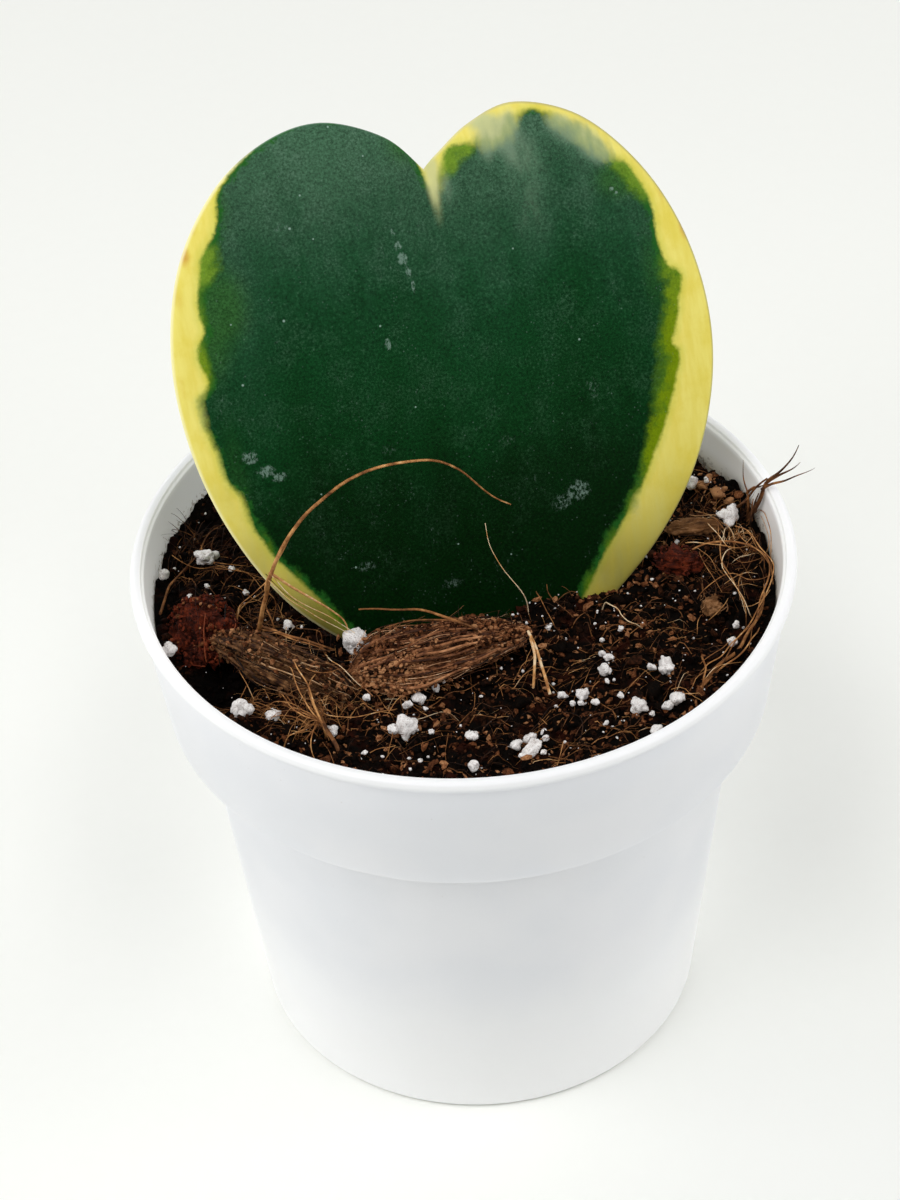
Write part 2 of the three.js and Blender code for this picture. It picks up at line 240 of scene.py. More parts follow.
def makeCamera():
    view = cameraView
    elevation, roll = math.radians(view["elevation"]), math.radians(view["roll"])
    back = Vector((0, -math.cos(elevation), math.sin(elevation)))
    right = Vector((1, 0, 0))
    up = back.cross(right)
    across = right * math.cos(roll) + up * math.sin(roll)
    upwards = up * math.cos(roll) - right * math.sin(roll)
    turn = Matrix((across, upwards, back)).transposed().to_4x4()
    data = bpy.data.cameras.new("camera")
    data.lens = view["lens"]
    data.sensor_width = view["sensor"]
    data.clip_start = 0.01
    camera = newObject("camera", data)
    camera.matrix_world = Matrix.Translation(Vector(view["target"]) + back * view["distance"]) @ turn
    scene.camera = camera


makeCamera()
print("camera placed")

# Studio: a pale floor, a sky that is bright behind and at the sides, and soft boxes high at the front
studio = {
    "floorSize": 4,
    "floorDrop": 0.0001,  # so that the floor and the pot's foot don't flicker
    "floorColour": (245, 246, 241),
    "floorFrontShade": (236, 237, 233),
    "floorGlow": 0.08,
    "paintedGlowColour": (1, 1, 0.97, 1),
    "front": (10, 50),  # painted shade: from where to where the floor is painted greyer, in mm to the front
    "frontAside": (-10, 50),  # and to the right
    "bounceAside": (58, 92),  # the same for painted light where light would be thrown back on to it, to either side
    "bounceAsideEnd": (120, 220),
    "bounceBack": (-30, 30),  # and to the back
    "bounceBackEnd": (60, 150),
    "skyColour": (255, 255, 255),
    "skyGlows": [((0, 1, 0.35), 1.5), ((-1, 0, 0.35), 1.1), ((1, 0, 0.35), 1.05)],  # direction and strength
    "glowWidth": 4,
    "aim": (0, 0, 0.08),
    "boxes": [  # name, place, size, power in watts
        ("frontLeftBox", (-0.7, -0.6, 1.3), 1.1, 11.2),
        ("frontRightBox", (0.7, -0.6, 1.3), 1.1, 6.8),
        ("leftBox", (-1.4, 0.1, 0.7), 0.8, 2.4),
        ("rightBox", (1.4, 0.1, 0.7), 0.8, 2.6),
    ],
}
black = (0, 0, 0, 1)


def floorMaterial():
    material, shader, place = newMaterial("floorPaper", Emission_Strength=studio["floorGlow"])
    grain = noiseOn(place, 3.0)
    sideways, back = alongAxis(place, 0), alongAxis(place, 1)
    aside = sideways.math("ABSOLUTE", sideways, 0)
    shade = tint(*studio["floorColour"])
    colour = blend(shade, tuple(c * 0.985 for c in shade), grain)
    # painted shade: the floor is greyer towards the front
    front = rise(-1 * back, *studio["front"]) * rise(sideways, *studio["frontAside"])
    colour = blend(colour, tint(*studio["floorFrontShade"]), front)
    # painted light: the floor glows to either side and behind, where light would be thrown back on to it
    paintedBounce = rise(aside, *studio["bounceAside"]) * rise(back, *studio["bounceBack"])
    paintedBounce = paintedBounce * (1 - rise(back, *studio["bounceBackEnd"]))
    paintedBounce = paintedBounce * (1 - rise(aside, *studio["bounceAsideEnd"]))
    glow = blend(black, studio["paintedGlowColour"], paintedBounce)
    dress(shader, place, colour, 0.55 + 0.1 * grain, glow=glow)
    return material


def makeFloor():
    bm = bmesh.new()
    bmesh.ops.create_grid(bm, x_segments=2, y_segments=2, size=studio["floorSize"])
    floor = newObject("floor", meshFrom(bm, "floor"))
    floor.location.z = -studio["floorDrop"]
    floor.data.materials.append(floorMaterial())


def makeLights():
    for name, spot, size, power in studio["boxes"]:
        data = bpy.data.lights.new(name, "AREA")
        data.shape = "DISK"
        data.size = size
        data.energy = power
        box = newObject(name, data)
        turn = (Vector(studio["aim"]) - Vector(spot)).to_track_quat("-Z", "Y").to_matrix().to_4x4()
        box.matrix_world = Matrix.Translation(spot) @ turn


def makeSky():
    world = bpy.data.worlds.new("sky")
    world.use_nodes = True
    background = world.node_tree.nodes["Background"]
    background.inputs["Color"].default_value = tint(*studio["skyColour"])
    direction = Flow(world.node_tree).make("ShaderNodeTexCoord")
    light = 0
    for axis, strength in studio["skyGlows"]:
        towards = onVectors("DOT_PRODUCT", direction, Vector(axis).normalized(), output=1)
        towards = towards.math("MAXIMUM", towards, 0)
        light = light + strength * towards.math("POWER", towards, studio["glowWidth"])
    world.node_tree.links.new(light.socket, background.inputs["Strength"])
    scene.world = world


makeFloor()
makeLights()
makeSky()
scene.view_settings.view_transform = "Standard"
print("studio lit")

# Pot: the same wall as the frame's, turned finely, with its corners rounded
potShape = {
    "rimRadius": 55,
    "height": 95.1,
    "footRadius": 38.65,
    "bodyTopRadius": 45.9,
    "shoulderHeight": 69.4,
    "collarFootRadius": 51.1,
    "collarTopRadius": 53.9,
    "collarTopHeight": 92.5,
    "wall": 1.5,
    "floorTop": 3.5,
    "recess": 2,
    "steps": 180,
    "holeRadius": 3,
    "holeCircle": 25,
    "holes": 6,
    "glow": 0.13,
    "paintedGlowColour": (1, 0.95, 0.82, 1),
}
potFinish = {
    "colour": (239, 240, 245),
    "shade": (234, 236, 242),
    "speck": (190, 186, 180),
    "low": (250, 251, 255),
    "lip": (245, 246, 249),
    "soilFilmAndShade": (184, 174, 156),
    "dirt": (92, 60, 36),
}
potZones = {  # from where to where each finish comes in, up the pot or across it, in mm
    "inside": (78, 80),
    "aboveSoil": (86, 91),
    "shadeAside": (-20, 50),
    "low": (4, 45),
    "lip": (93.2, 94.4),
    "glowAside": (-40, 20),
}


def collarSlope():
    shape = potShape
    widening = shape["collarTopRadius"] - shape["collarFootRadius"]
    return widening / (shape["collarTopHeight"] - shape["shoulderHeight"])


def collarRadius(height):
    return potShape["collarFootRadius"] + (height - potShape["shoulderHeight"]) * collarSlope()


def bodyRadius(height):
    shape = potShape
    widening = shape["bodyTopRadius"] - shape["footRadius"]
    return shape["footRadius"] + height / shape["shoulderHeight"] * widening


def potMaterial():
    shape, zones = potShape, potZones
    material, shader, place = newMaterial("whitePlastic", IOR=1.46, Subsurface_Weight=0.5,
                                          Subsurface_Radius=(1, 1, 1), Subsurface_Scale=0.002,
                                          Emission_Strength=shape["glow"])
    finish = tints(potFinish)
    sideways, height = alongAxis(place, 0), alongAxis(place, 2)
    reach = onVectors("LENGTH", onVectors("MULTIPLY", place, (1, 1, 0)), output=1)
    cloud = noiseOn(place, 22.0, 2.0)
    speck = rise(noiseOn(place, 0.9, 1.0), 0.79, 0.83)
    colour = blend(finish["colour"], finish["shade"], rise(cloud, 0.3, 0.7))
    colour = blend(colour, finish["speck"], speck * 0.35)
    # the inner side of the collar, with a film of soil that is thicker near the mix, and painted shade that
    # darkens it further on the right
    depthIn = (height - shape["shoulderHeight"]) * collarSlope() + shape["collarFootRadius"] - reach
    inside = rise(depthIn, 0.7, 1.1) * rise(height, *zones["inside"])
    nearSoil = 1 - rise(height, *zones["aboveSoil"])
    rightSide = rise(sideways, *zones["shadeAside"])
    colour = blend(colour, finish["soilFilmAndShade"], inside * (0.12 + (0.2 + 0.6 * nearSoil) * rightSide))
    dirt = rise(noiseOn(place, 1.0, 4.0, 0.7) + 0.2 * nearSoil, 0.68, 0.74)
    colour = blend(colour, finish["dirt"], dirt * inside * nearSoil * 0.85)
    # painted light: paler towards the foot, where the floor throws light back on it
    low = 1 - rise(height, *zones["low"])
    colour = blend(colour, finish["low"], low)
    # painted highlight along the top of the lip
    colour = blend(colour, finish["lip"], rise(height, *zones["lip"]))
    # painted light: the inner wall glows as if light came through it, less on the right and by the soil
    # there, and the foot glows too
    glow = inside * (1 - 0.55 * rise(sideways, *zones["glowAside"])) * (1 - 0.6 * nearSoil * rightSide)
    glow = blend(black, shape["paintedGlowColour"], glow + low * 0.35)
    roughness = 0.3 + 0.1 * cloud + 0.3 * inside
    relief = 0.7 * cloud + 0.05 * noiseOn(place, 0.35, 2.0)
    dress(shader, place, colour, roughness, relief, depth=0.1, strength=0.35, glow=glow)
    return material


def potProfile():  # radius, height and rounding of each corner, from the foot up and down inside
    shape = potShape
    top, rim, wall, recess = shape["height"], shape["rimRadius"], shape["wall"], shape["recess"]
    shoulder, collarTop = shape["shoulderHeight"], shape["collarTopHeight"]
    stepHeight = shoulder + wall
    foot = shape["footRadius"]
    return [
        (0, 0, 0),
        (14, 0, 0.4),
        (15.5, recess, 0.5),
        (foot - 4.8, recess, 0.5),
        (foot - 3.3, 0, 0.3),
        (foot - 0.85, 0, 0.2),
        (foot, 0.9, 0.45),
        (shape["bodyTopRadius"], shoulder, 0.5),
        (shape["collarFootRadius"] - 0.05, shoulder, 0.35),
        (shape["collarTopRadius"], collarTop, 0.35),
        (rim - 0.35, collarTop + 0.7, 0.3),
        (rim, collarTop + 1.5, 0.3),
        (rim - 0.25, top - 0.35, 0.2),
        (rim - 0.8, top, 0.2),
        (rim - 1.85, top - 0.1, 0.15),
        (rim - 1.95, top - 0.6, 0.05),
        (rim - 2.35, top - 0.8, 0.1),
        (rim - 2.45, top - 1.5, 0.05),
        (shape["collarTopRadius"] - wall, collarTop, 0),
        (collarRadius(stepHeight) - wall, stepHeight, 0.8),
        (shape["bodyTopRadius"] - wall, shoulder - 0.3, 0.8),
        (bodyRadius(4.5) - wall, 4.5, 0.8),
        (bodyRadius(3.5) - wall - 1, shape["floorTop"], 0.5),
        (0, shape["floorTop"], 0),
    ]


def makePot():
    profile = potProfile()
    bm = bmesh.new()
    verts = [bm.verts.new((radius * mm, 0, height * mm)) for radius, height, rounding in profile]
    edges = [bm.edges.new(pair) for pair in zip(verts, verts[1:])]
    bmesh.ops.spin(bm, geom=verts + edges, cent=(0, 0, 0), axis=(0, 0, 1), angle=math.tau,
                   steps=potShape["steps"], use_merge=True)
    bmesh.ops.remove_doubles(bm, verts=bm.verts, dist=weld / 2)
    for radius, height, rounding in profile:
        if rounding:
            roundRing(bm, radius * mm, height * mm, rounding * mm)
    bmesh.ops.recalc_face_normals(bm, faces=bm.faces)
    drillHoles(addPiece(bm, "plasticPot", potMaterial(), "pot_plastic", ["pot"]))


def roundRing(bm, radius, height, rounding):
    def onRing(vert):
        return abs(vert.co.z - height) < weld / 2 and abs(vert.co.to_2d().length - radius) < weld
    edges = [edge for edge in bm.edges if onRing(edge.verts[0]) and onRing(edge.verts[1])]
    bmesh.ops.bevel(bm, geom=edges, offset=rounding, offset_type="OFFSET", segments=3, profile=0.5,
                    affect="EDGES", material=-1)


def drillHoles(pot):
    bm = bmesh.new()
    radius = potShape["holeRadius"] * mm
    for i in range(potShape["holes"]):
        angle = i / potShape["holes"] * math.tau
        spot = Vector((math.cos(angle), math.sin(angle), 0)) * potShape["holeCircle"] * mm
        bmesh.ops.create_cone(bm, cap_ends=True, segments=40, radius1=radius, radius2=radius,
                              depth=20 * mm, matrix=Matrix.Translation(spot))
    cutter = newObject("holes", meshFrom(bm, "holes"))
    cut = pot.modifiers.new("holes", "BOOLEAN")
    cut.operation = "DIFFERENCE"
    cut.object = cutter
    cut.solver = "EXACT"
    shaped = pot.evaluated_get(bpy.context.evaluated_depsgraph_get())
    drilled = bpy.data.meshes.new_from_object(shaped)
    pot.modifiers.clear()
    pot.data = drilled
    bpy.data.objects.remove(cutter)


makePot()
print("pot turned")

# Leaf: a thick blade from its margin, bent back, with a fold below the notch
leafShape = {
    "foot": (3.9, -4.3, 87),
    "yaw": math.radians(14),
    "leanAtSoil": math.radians(20),
    "leanAtTop": math.radians(36),
    "leanLength": 85,
    "length": 83,
    "thickness": 3.4,
    "edgeBluntness": 14,
    "middle": (-0.6, 38),
    "notch": (1, 73),
    "around": 288,
    "rings": 96,
    "outlinePoints": 2000,
    "patchPoints": 420,
    "edgeBand": 6,  # how wide the lightening along the edge is
}
leafMargin = [
    leafShape["notch"],
    (-4.6, 79.2), (-14.3, 83.3), (-24, 81.8), (-33.4, 75.7), (-41.2, 64.5), (-44.9, 50), (-44.2, 34.5),
    (-39.8, 19.8), (-32, 6.3), (-20, -5), (-8, -13.5), (0, -16.5), (8, -13.5), (19, -5), (30, 5),
    (37.9, 16.5), (42.6, 30), (43.7, 43), (41.4, 56), (36, 67.5), (27.5, 76.9), (17.3, 80.9), (9.3, 78.9),
    (3.4, 75),
    leafShape["notch"],
]
# The green patch inside the yellow margin, across and along the leaf, round from the notch
greenPatch = [
    (0.3, 73.6), (-2, 77.8), (-7.8, 82.4), (-14.3, 84.2), (-20.7, 83.4), (-26, 81), (-30, 78.2),
    (-32.7, 75.2), (-33.6, 72.1), (-34.3, 69.6), (-36.3, 67.4), (-37.5, 65.4), (-38.2, 62.6),
    (-39.1, 59.6), (-39.3, 57.2), (-38.9, 54.7), (-40.2, 52.5), (-40.8, 50.2), (-40.2, 48.1),
    (-39.8, 46.2), (-41.6, 44.2), (-42, 42.4), (-41.6, 40.2), (-41.3, 38.6), (-41, 36.6), (-40.5, 34.7),
    (-40.1, 31.6), (-38.9, 28.8), (-37.6, 27), (-37.2, 23.4), (-36.2, 20.6), (-34.4, 16.5), (-32, 13.2),
    (-28.2, 7.8), (-24.3, 1.6), (-18, -4), (-8, -10), (0, -13), (8, -10), (15.2, -2.4), (19.9, 4.5),
    (22.3, 7.5), (25.2, 11.2), (28.2, 15.4), (31.2, 20.9), (32.6, 23.4), (33.8, 26.2), (35.8, 30.8),
    (37.4, 36.1), (36.4, 37.8), (37.4, 40.4), (38.7, 45.1), (39.6, 48.6), (37.4, 50.8), (36.6, 55.2),
    (36.4, 61.3), (35.2, 64.6), (33.7, 67.9), (31.6, 69.4), (29.8, 71.2), (27.4, 73.8), (24.8, 75.8),
    (22.2, 77.8), (19.6, 79.3), (17.2, 78.6), (15, 77.2), (13.6, 76), (12.2, 75.2), (10.6, 75.2),
    (8, 75.8), (5.2, 75.6), (4.0, 73.9), (2.7, 71.6), (1.7, 70), (0.9, 71), (0.3, 73.6),
]
# Soft spots on the leaf: across, along, width, height, strength
leafSpots = {
    "lime": [
        (-37.0, 64.6, 5.0, 3.0, 1.0), (-41.2, 49.4, 2.6, 4.2, 0.85), (-39, 57.5, 1.6, 3.0, 0.4),
        (5.0, 73.2, 2.4, 2.6, 1.0), (8.2, 74.6, 2.2, 1.4, 0.5), (35.4, 64.6, 4.6, 3.2, 0.8),
        (31.4, 68, 2.4, 1.8, 0.5), (38.4, 45.4, 5.0, 6.4, 0.8), (36.6, 37, 5.6, 5.0, 0.7),
        (35.4, 30.6, 6.4, 5.0, 1.0), (32.6, 22.6, 4.4, 4.6, 0.7), (30, 17, 2.6, 4.4, 0.4),
        (26, 12, 2.0, 4.4, 0.35), (21.6, 6.4, 2.0, 4.4, 0.35), (17, 0.4, 2.0, 4.4, 0.35),
        (-35, 17, 1.4, 5.0, 0.35), (-31, 9.5, 1.4, 4.5, 0.35), (-26, 2, 1.6, 4.5, 0.4),
    ],
    "fresh": [
        (-36, 58, 4.6, 6.5, 1.0), (-38.6, 50, 3.0, 5.0, 0.4), (31.6, 66, 4.0, 3.4, 0.9),
        (-2, 78, 3.5, 4.0, 0.7), (-33, 74, 2.0, 5.0, 0.6), (35, 50, 2.5, 8.0, 0.5),
        (-38, 30, 2.4, 10.0, 0.5), (24, 12, 4.0, 12.0, 0.5),
    ],
    "haze": [
        (12.8, 76.2, 2.6, 2.4, 1.0), (11, 79, 2.6, 1.6, 0.8), (15.6, 77.4, 1.8, 2.6, 0.8),
        (23.2, 76.4, 2.2, 1.6, 1.0), (25.8, 74.2, 2.8, 2.0, 1.0), (28.4, 71.4, 2.4, 2.2, 1.0),
        (30.2, 69.6, 1.8, 1.6, 0.6), (-41.4, 42, 1.6, 3.2, 0.34), (-40.2, 34, 1.0, 4.5, 0.16),
        (-37.8, 26, 1.0, 4.0, 0.14), (26.6, 11.4, 1.0, 3.0, 0.4), (11, 74, 1.3, 2.0, 0.6),
        (15.2, 73, 2.0, 3.4, 0.6), (18.6, 72, 1.6, 4.6, 0.4), (16.6, 64, 3.2, 7.0, 0.35),
        (3.4, 68.6, 1.6, 2.6, 0.5), (4, 71, 1.2, 2.0, 0.4),
    ],
    # painted highlights, and painted shade where the strength is negative
    "light": [
        (-35, 44, 7.0, 22.0, 1.0), (4, 54, 11.0, 20.0, 0.5), (12, 54, 6.0, 14.0, 0.5),
        (33, 50, 5.0, 16.0, 1.0), (26, 24, 6.0, 8.0, 0.6), (-16, 76, 14.0, 6.0, 0.35),
        (14, 70, 12.0, 7.0, 0.3), (-24, 40, 5.0, 20.0, -0.3), (-6, 44, 3.5, 18.0, -0.3),
        (24, 46, 3.0, 18.0, -0.3),
    ],
    "crease": [
        (2.1, 73.4, 1.1, 1.5, 1.0), (1.7, 70.9, 1.05, 1.7, 0.9), (1.7, 68.4, 0.95, 1.9, 0.55),
        (1.8, 65.6, 0.9, 2.4, 0.25),
    ],
    "blush": [
        (-42, 60, 1.2, 3.0, 0.4), (-39.8, 66.8, 1.0, 1.8, 0.85), (-37.6, 71, 0.8, 2.0, 0.5),
        (-44, 47, 0.8, 5.0, 0.3), (41.6, 56, 0.9, 2.2, 0.9), (38.6, 62.6, 0.8, 2.4, 0.5),
        (34.6, 17, 0.26, 0.26, 1.6),
    ],
    "olive": [
        (-42.4, 28, 5.0, 4.0, 0.2), (-37, 17, 7.0, 8.0, 0.4), (-24, 3, 10.0, 10.0, 1.0),
        (22, 2, 10.0, 10.0, 0.5), (-18, -4, 8.0, 6.0, 0.8), (34, 14, 5.0, 7.0, 0.2),
        (16, 83, 12.0, 2.0, 0.35), (-30, 79, 5.0, 3.0, 0.25),
    ],
}

# Scuffs and bright specks on its skin: across, along, width, height, strength
leafScuffs = [
    (-6.3, 64.2, 0.6, 1.0, 0.6), (-5.9, 62, 0.9, 1.2, 1.0), (-5.5, 59.8, 1.1, 1.5, 1.3),
    (-4.9, 57.6, 0.7, 1.4, 1.0), (-4.5, 55.2, 0.5, 1.6, 0.9), (-10.3, 46.9, 0.7, 1.4, 1.2),
    (-35.4, 33.4, 1.9, 1.6, 1.0), (-33.2, 30.6, 2.2, 1.3, 1.1), (-31.2, 29.2, 1.8, 1.1, 0.9),
    (14.2, 15.4, 2.6, 2.2, 0.55), (17.4, 16.8, 2.8, 2.6, 0.75), (30.2, 64.3, 0.6, 0.5, 1.6),
    (30.9, 63.6, 0.4, 0.4, 1.3), (-19.5, 11.5, 2.6, 1.3, 0.4), (-6, 5.6, 3.0, 1.4, 0.4),
    (-24, 68.4, 2.0, 1.0, 0.4), (6.4, 27.6, 2.4, 1.6, 0.35), (22, 33, 1.8, 3.0, 0.35),
    (-13, 30, 2.2, 1.4, 0.3),
]
leafSpecks = [  # across, along, radius
    (-20.0, 72.7, 0.22), (-22.6, 67.9, 0.3), (-26.2, 53.8, 0.3), (-34.6, 54.8, 0.2), (-34.5, 45.0, 0.28),
    (-11.0, 50.0, 0.24), (-8.8, 76.9, 0.2), (-13.3, 82.4, 0.22), (-19.2, 65.6, 0.2), (-7.5, 36.0, 0.2),
    (-4.0, 12.1, 0.2), (-21.3, 11.7, 0.24), (-25, 25, 0.2), (12.6, 58, 0.2), (21, 41.5, 0.26),
    (4.5, 8.5, 0.2),
]
leafGreens = [  # from its foot up, lighter and greyer towards the top, partly a painted sheen
    (0.0, (0, 27, 1)), (0.12, (1, 31, 3)), (0.26, (2, 37, 7)), (0.36, (5, 50, 17)), (0.5, (10, 58, 25)),
    (0.62, (16, 61, 31)), (0.7, (27, 70, 42)), (0.78, (40, 78, 53)), (0.87, (53, 88, 64)),
    (0.96, (61, 97, 72)),
]
leafFinish = {
    "rimGreen": (34, 92, 30),
    "lime": (112, 136, 6),
    "limeTop": (108, 142, 40),
    "limeDark": (78, 116, 24),
    "fresh": (44, 88, 36),
    "greenEdgeHighlight": (128, 158, 136),
    "greyGreen": (92, 108, 98),
    "veil": (126, 150, 124),
    "yellow": (234, 218, 102),
    "paleYellow": (242, 230, 124),
    "richYellow": (228, 208, 76),
    "blush": (214, 168, 76),
    "olive": (142, 136, 60),
    "cream": (194, 200, 148),
    "crease": (212, 212, 148),
    "limeWash": (176, 190, 60),
    "yellowEdgeShade": (176, 168, 112),
    "yellowEdgeHighlight": (250, 244, 190),
    "dust": (150, 178, 164),
    "underGreen": (66, 104, 50),
    "underLight": (88, 124, 66),
    "underYellow": (206, 200, 106),
}


def leafPlace(across, along, outward):
    shape = leafShape
    bend = (shape["leanAtTop"] - shape["leanAtSoil"]) / shape["leanLength"]
    lean = shape["leanAtSoil"] + bend * along
    back = (np.cos(shape["leanAtSoil"]) - np.cos(lean)) / bend - outward * np.cos(lean)
    up = (np.sin(lean) - np.sin(shape["leanAtSoil"])) / bend + outward * np.sin(lean)
    cosine, sine = math.cos(shape["yaw"]), math.sin(shape["yaw"])
    foot = shape["foot"]
    return np.stack([
        foot[0] + across * cosine - back * sine,
        foot[1] + across * sine + back * cosine,
        foot[2] + up,
    ], -1)


def leafRelief(across, along):
    fold = np.exp(-(((across - 1) / 3.5) ** 2)) * smoothStep(along, 30, 74)
    waves = 0.35 * np.sin(across / 7 + 1) * np.sin(along / 13)
    return waves - 0.9 * fold


def insideBy(across, along, outline):  # distance to an outline in mm, positive inside it
    outline = curveThrough(outline, leafShape["patchPoints"])
    start, end = outline[:-1], outline[1:]
    points = np.stack([across, along], -1)[:, None]
    edge = end - start
    length = np.maximum((edge**2).sum(-1), 1e-9)
    share = np.clip(((points - start) * edge).sum(-1) / length, 0, 1)
    away = np.sqrt(((points - start - share[..., None] * edge) ** 2).sum(-1).min(1))
    above = (start[:, 1] > points[..., 1]) != (end[:, 1] > points[..., 1])
    run = np.where(edge[:, 1] == 0, 1e-9, edge[:, 1])
    crossing = start[:, 0] + (points[..., 1] - start[:, 1]) / run * edge[:, 0]
    inside = (above & (points[..., 0] < crossing)).sum(1) % 2 == 1
    return np.where(inside, away, -away)


def setNumbers(mesh, name, values):
    kind, field = ("FLOAT_VECTOR", "vector") if np.ndim(values) == 2 else ("FLOAT", "value")
    store = mesh.attributes.new(name, kind, "POINT")
    store.data.foreach_set(field, np.ravel(values).astype(np.float32))


# 1 in the middle of a spot on the leaf, 0 outside it
def nearTo(where, across, along, width, long):
    gap = onVectors("SUBTRACT", where, (across, along, 0))
    gap = onVectors("MULTIPLY", gap, (1 / width, 1 / long, 0))
    return 1 - rise(onVectors("LENGTH", gap, output=1), 0.3, 1.0)


def insideColour(where, on, finish, clouds, mottle):  # darkest at the foot, lighter and greyer upwards partly as a painted sheen, fresher in places
    veils = noiseOn(stretched(where, 1, 0.14, 1), 4.5, 3.0)
    banks = noiseOn(stretched(where, 1, 0.3, 1), 11.0, 3.0, 0.6)
    # painted sheen and highlights: lighter up the leaf and on the light spots, painted shade where those
    # are negative
    level = on["height"] + 0.1 * on["light"] + 0.25 * on["haze"] - 0.02
    level = level + 0.22 * (veils - 0.5) + 0.16 * (clouds - 0.5) + 0.16 * (banks - 0.5)
    colour = ramped(level, leafGreens)
    # painted sheen: grey blotches that grow stronger up the leaf
    greyed = rise(mottle + 0.6 * (clouds - 0.5), 0.5, 0.8) * on["height"] * 0.3
    colour = blend(colour, finish["greyGreen"], greyed)
    freshened = rise(on["fresh"] * (0.6 + 0.8 * clouds), 0.1, 0.8) * rise(on["height"], 0.2, 0.5) * 0.75
    return blend(colour, finish["fresh"], freshened)


def fringeColour(on, finish, clouds, lobes, depthIn):  # between the margin and the dark green
    colour = blend(finish["lime"], finish["limeTop"], rise(on["height"], 0.45, 0.75))
    darkened = rise(depthIn + 1.6 * (clouds - 0.5) + 0.8 * lobes, 0.1, 0.7)
    colour = blend(colour, finish["limeDark"], darkened)
    return blend(finish["rimGreen"], colour, rise(on["lime"] + 0.5 * lobes, 0.1, 0.6))


def marginColour(where, on, finish, clouds, soft, ragged):
    streaks = noiseOn(stretched(where, 1, 0.16, 1), 1.7, 3.0, 0.6)
    colour = blend(finish["yellow"], finish["paleYellow"], rise(streaks, 0.3, 0.75))
    colour = blend(colour, finish["richYellow"], rise(clouds, 0.42, 0.7) * 0.6)
    colour = blend(colour, finish["blush"], rise(on["blush"] + 0.5 * (clouds - 0.5), 0.15, 0.9))
    colour = blend(colour, finish["olive"], rise(on["olive"] + 0.3 * (streaks - 0.5), 0.0, 1.0))
    colour = blend(colour, finish["cream"], rise(on["haze"] + 0.6 * (soft - 0.5), 0.1, 0.9) * 0.9)
    colour = blend(colour, finish["limeWash"], rise(ragged, -1.6, 0.2) * 0.35)
    # painted highlight on the rounded edge to the left, painted shade on it to the right
    edgeHighlightAndShade = blend(finish["yellowEdgeHighlight"], finish["yellowEdgeShade"], rise(alongAxis(where, 0), -10, 24))
    colour = blend(colour, edgeHighlightAndShade, rise(on["edge"], 0.9, 0.99) * 0.8)
    # painted shade: the margin is darker near the foot, by the soil
    return scaled(colour, 0.72 + 0.28 * rise(on["height"], 0.0, 0.22))


def leafWear(where):  # fine powder, scrapes, scuffs and specks on its skin
    powder = (1 - rise(cellsOn(where, 1.3), 0.04, 0.24)) * rise(noiseOn(where, 2.6, 3.0), 0.5, 0.68)
    scrapes = rise(noiseOn(stretched(where, 1, 0.5, 1), 0.5, 3.0, 0.7), 0.6, 0.78)
    scrapes = scrapes * rise(noiseOn(where, 6.0), 0.46, 0.7)
    scuffs, specks = 0, 0
    for across, along, width, long, strength in leafScuffs:
        scuffs = strength * nearTo(where, across, along, width, long) + scuffs
    for across, along, radius in leafSpecks:
        specks = nearTo(where, across, along, radius, radius) + specks
    worn = noiseOn(stretched(where, 1, 0.7, 1), 0.5, 4.0, 0.75)
    scuffs = rise(worn + 0.14 * scuffs, 0.54, 0.72) * rise(scuffs, 0.02, 0.7)
    return powder * 0.2 + scrapes * 0.22 + scuffs * 0.45 + specks.math("MINIMUM", specks, 1) * 0.75


def leafMaterial():
    material, shader, place = newMaterial("leafSkin", Specular_IOR_Level=0.06)
    where = attribute(place, "where", 1)  # across, along and outward on the leaf, in mm
    on = {name: attribute(place, name) for name in ("patch", "height", "under", "edge", *leafSpots)}
    haze = on["haze"]
    finish = tints(leafFinish)
    mottle = noiseOn(where, 0.42, 5.0, 0.75)
    clouds = noiseOn(where, 6.0, 4.0, 0.6)
    soft = noiseOn(stretched(where, 1, 0.4, 1), 1.5, 2.0, 0.5)
    lobes = noiseOn(where, 2.0, 3.0) - 0.5
    nibbles = noiseOn(where, 0.6, 3.0, 0.6) - 0.5

    # how far inside the patch's ragged edge a spot is, and how far past the lime fringe
    hazy = haze * ((soft - 0.5) * 4.0 + (clouds - 0.5) * 4.5)
    ragged = on["patch"] + 0.8 * lobes + 0.5 * nibbles + hazy
    green = rise(ragged / (0.42 + 3.4 * haze), -1.0, 1.0)
    depthIn = (ragged + 2.0 * lobes + 1.2 * nibbles + 1.5 * haze) / (1.2 + 4.6 * on["lime"])

    inner = scaled(insideColour(where, on, finish, clouds, mottle), 1 + 3.4 * (mottle - 0.5))
    fringe = scaled(fringeColour(on, finish, clouds, lobes, depthIn), 1 + 1.2 * (mottle - 0.5))
    inner = blend(fringe, inner, rise(depthIn, 0.2, 1.0))
    inner = blend(inner, finish["veil"], rise(haze + 0.6 * (soft - 0.5), 0.2, 1.1) * 0.75)
    colour = blend(marginColour(where, on, finish, clouds, soft, ragged), inner, green)
    # painted highlight along the rounded edge of the green
    colour = blend(colour, finish["greenEdgeHighlight"], rise(on["edge"], 0.955, 0.99) * green * 0.6)
    colour = blend(colour, finish["crease"], rise(on["crease"] * (0.7 + 0.6 * soft), 0.05, 0.95) * 0.9)
    wear = leafWear(where)
    colour = blend(colour, finish["dust"], wear * (0.2 + 0.8 * green))

    backGreen = blend(finish["underGreen"], finish["underLight"], rise(mottle, 0.3, 0.7))
    colour = blend(colour, blend(finish["underYellow"], backGreen, green), on["under"])
    pits = noiseOn(where, 0.38, 3.0, 0.6)
    ripples = noiseOn(stretched(where, 1, 0.35, 1), 3.4, 2.0)
    relief = 0.55 * pits + 0.45 * mottle + 1.2 * ripples
    dress(shader, place, colour, 0.5 + 0.2 * mottle + 0.12 * wear, relief, depth=0.1, strength=0.6)
    return material


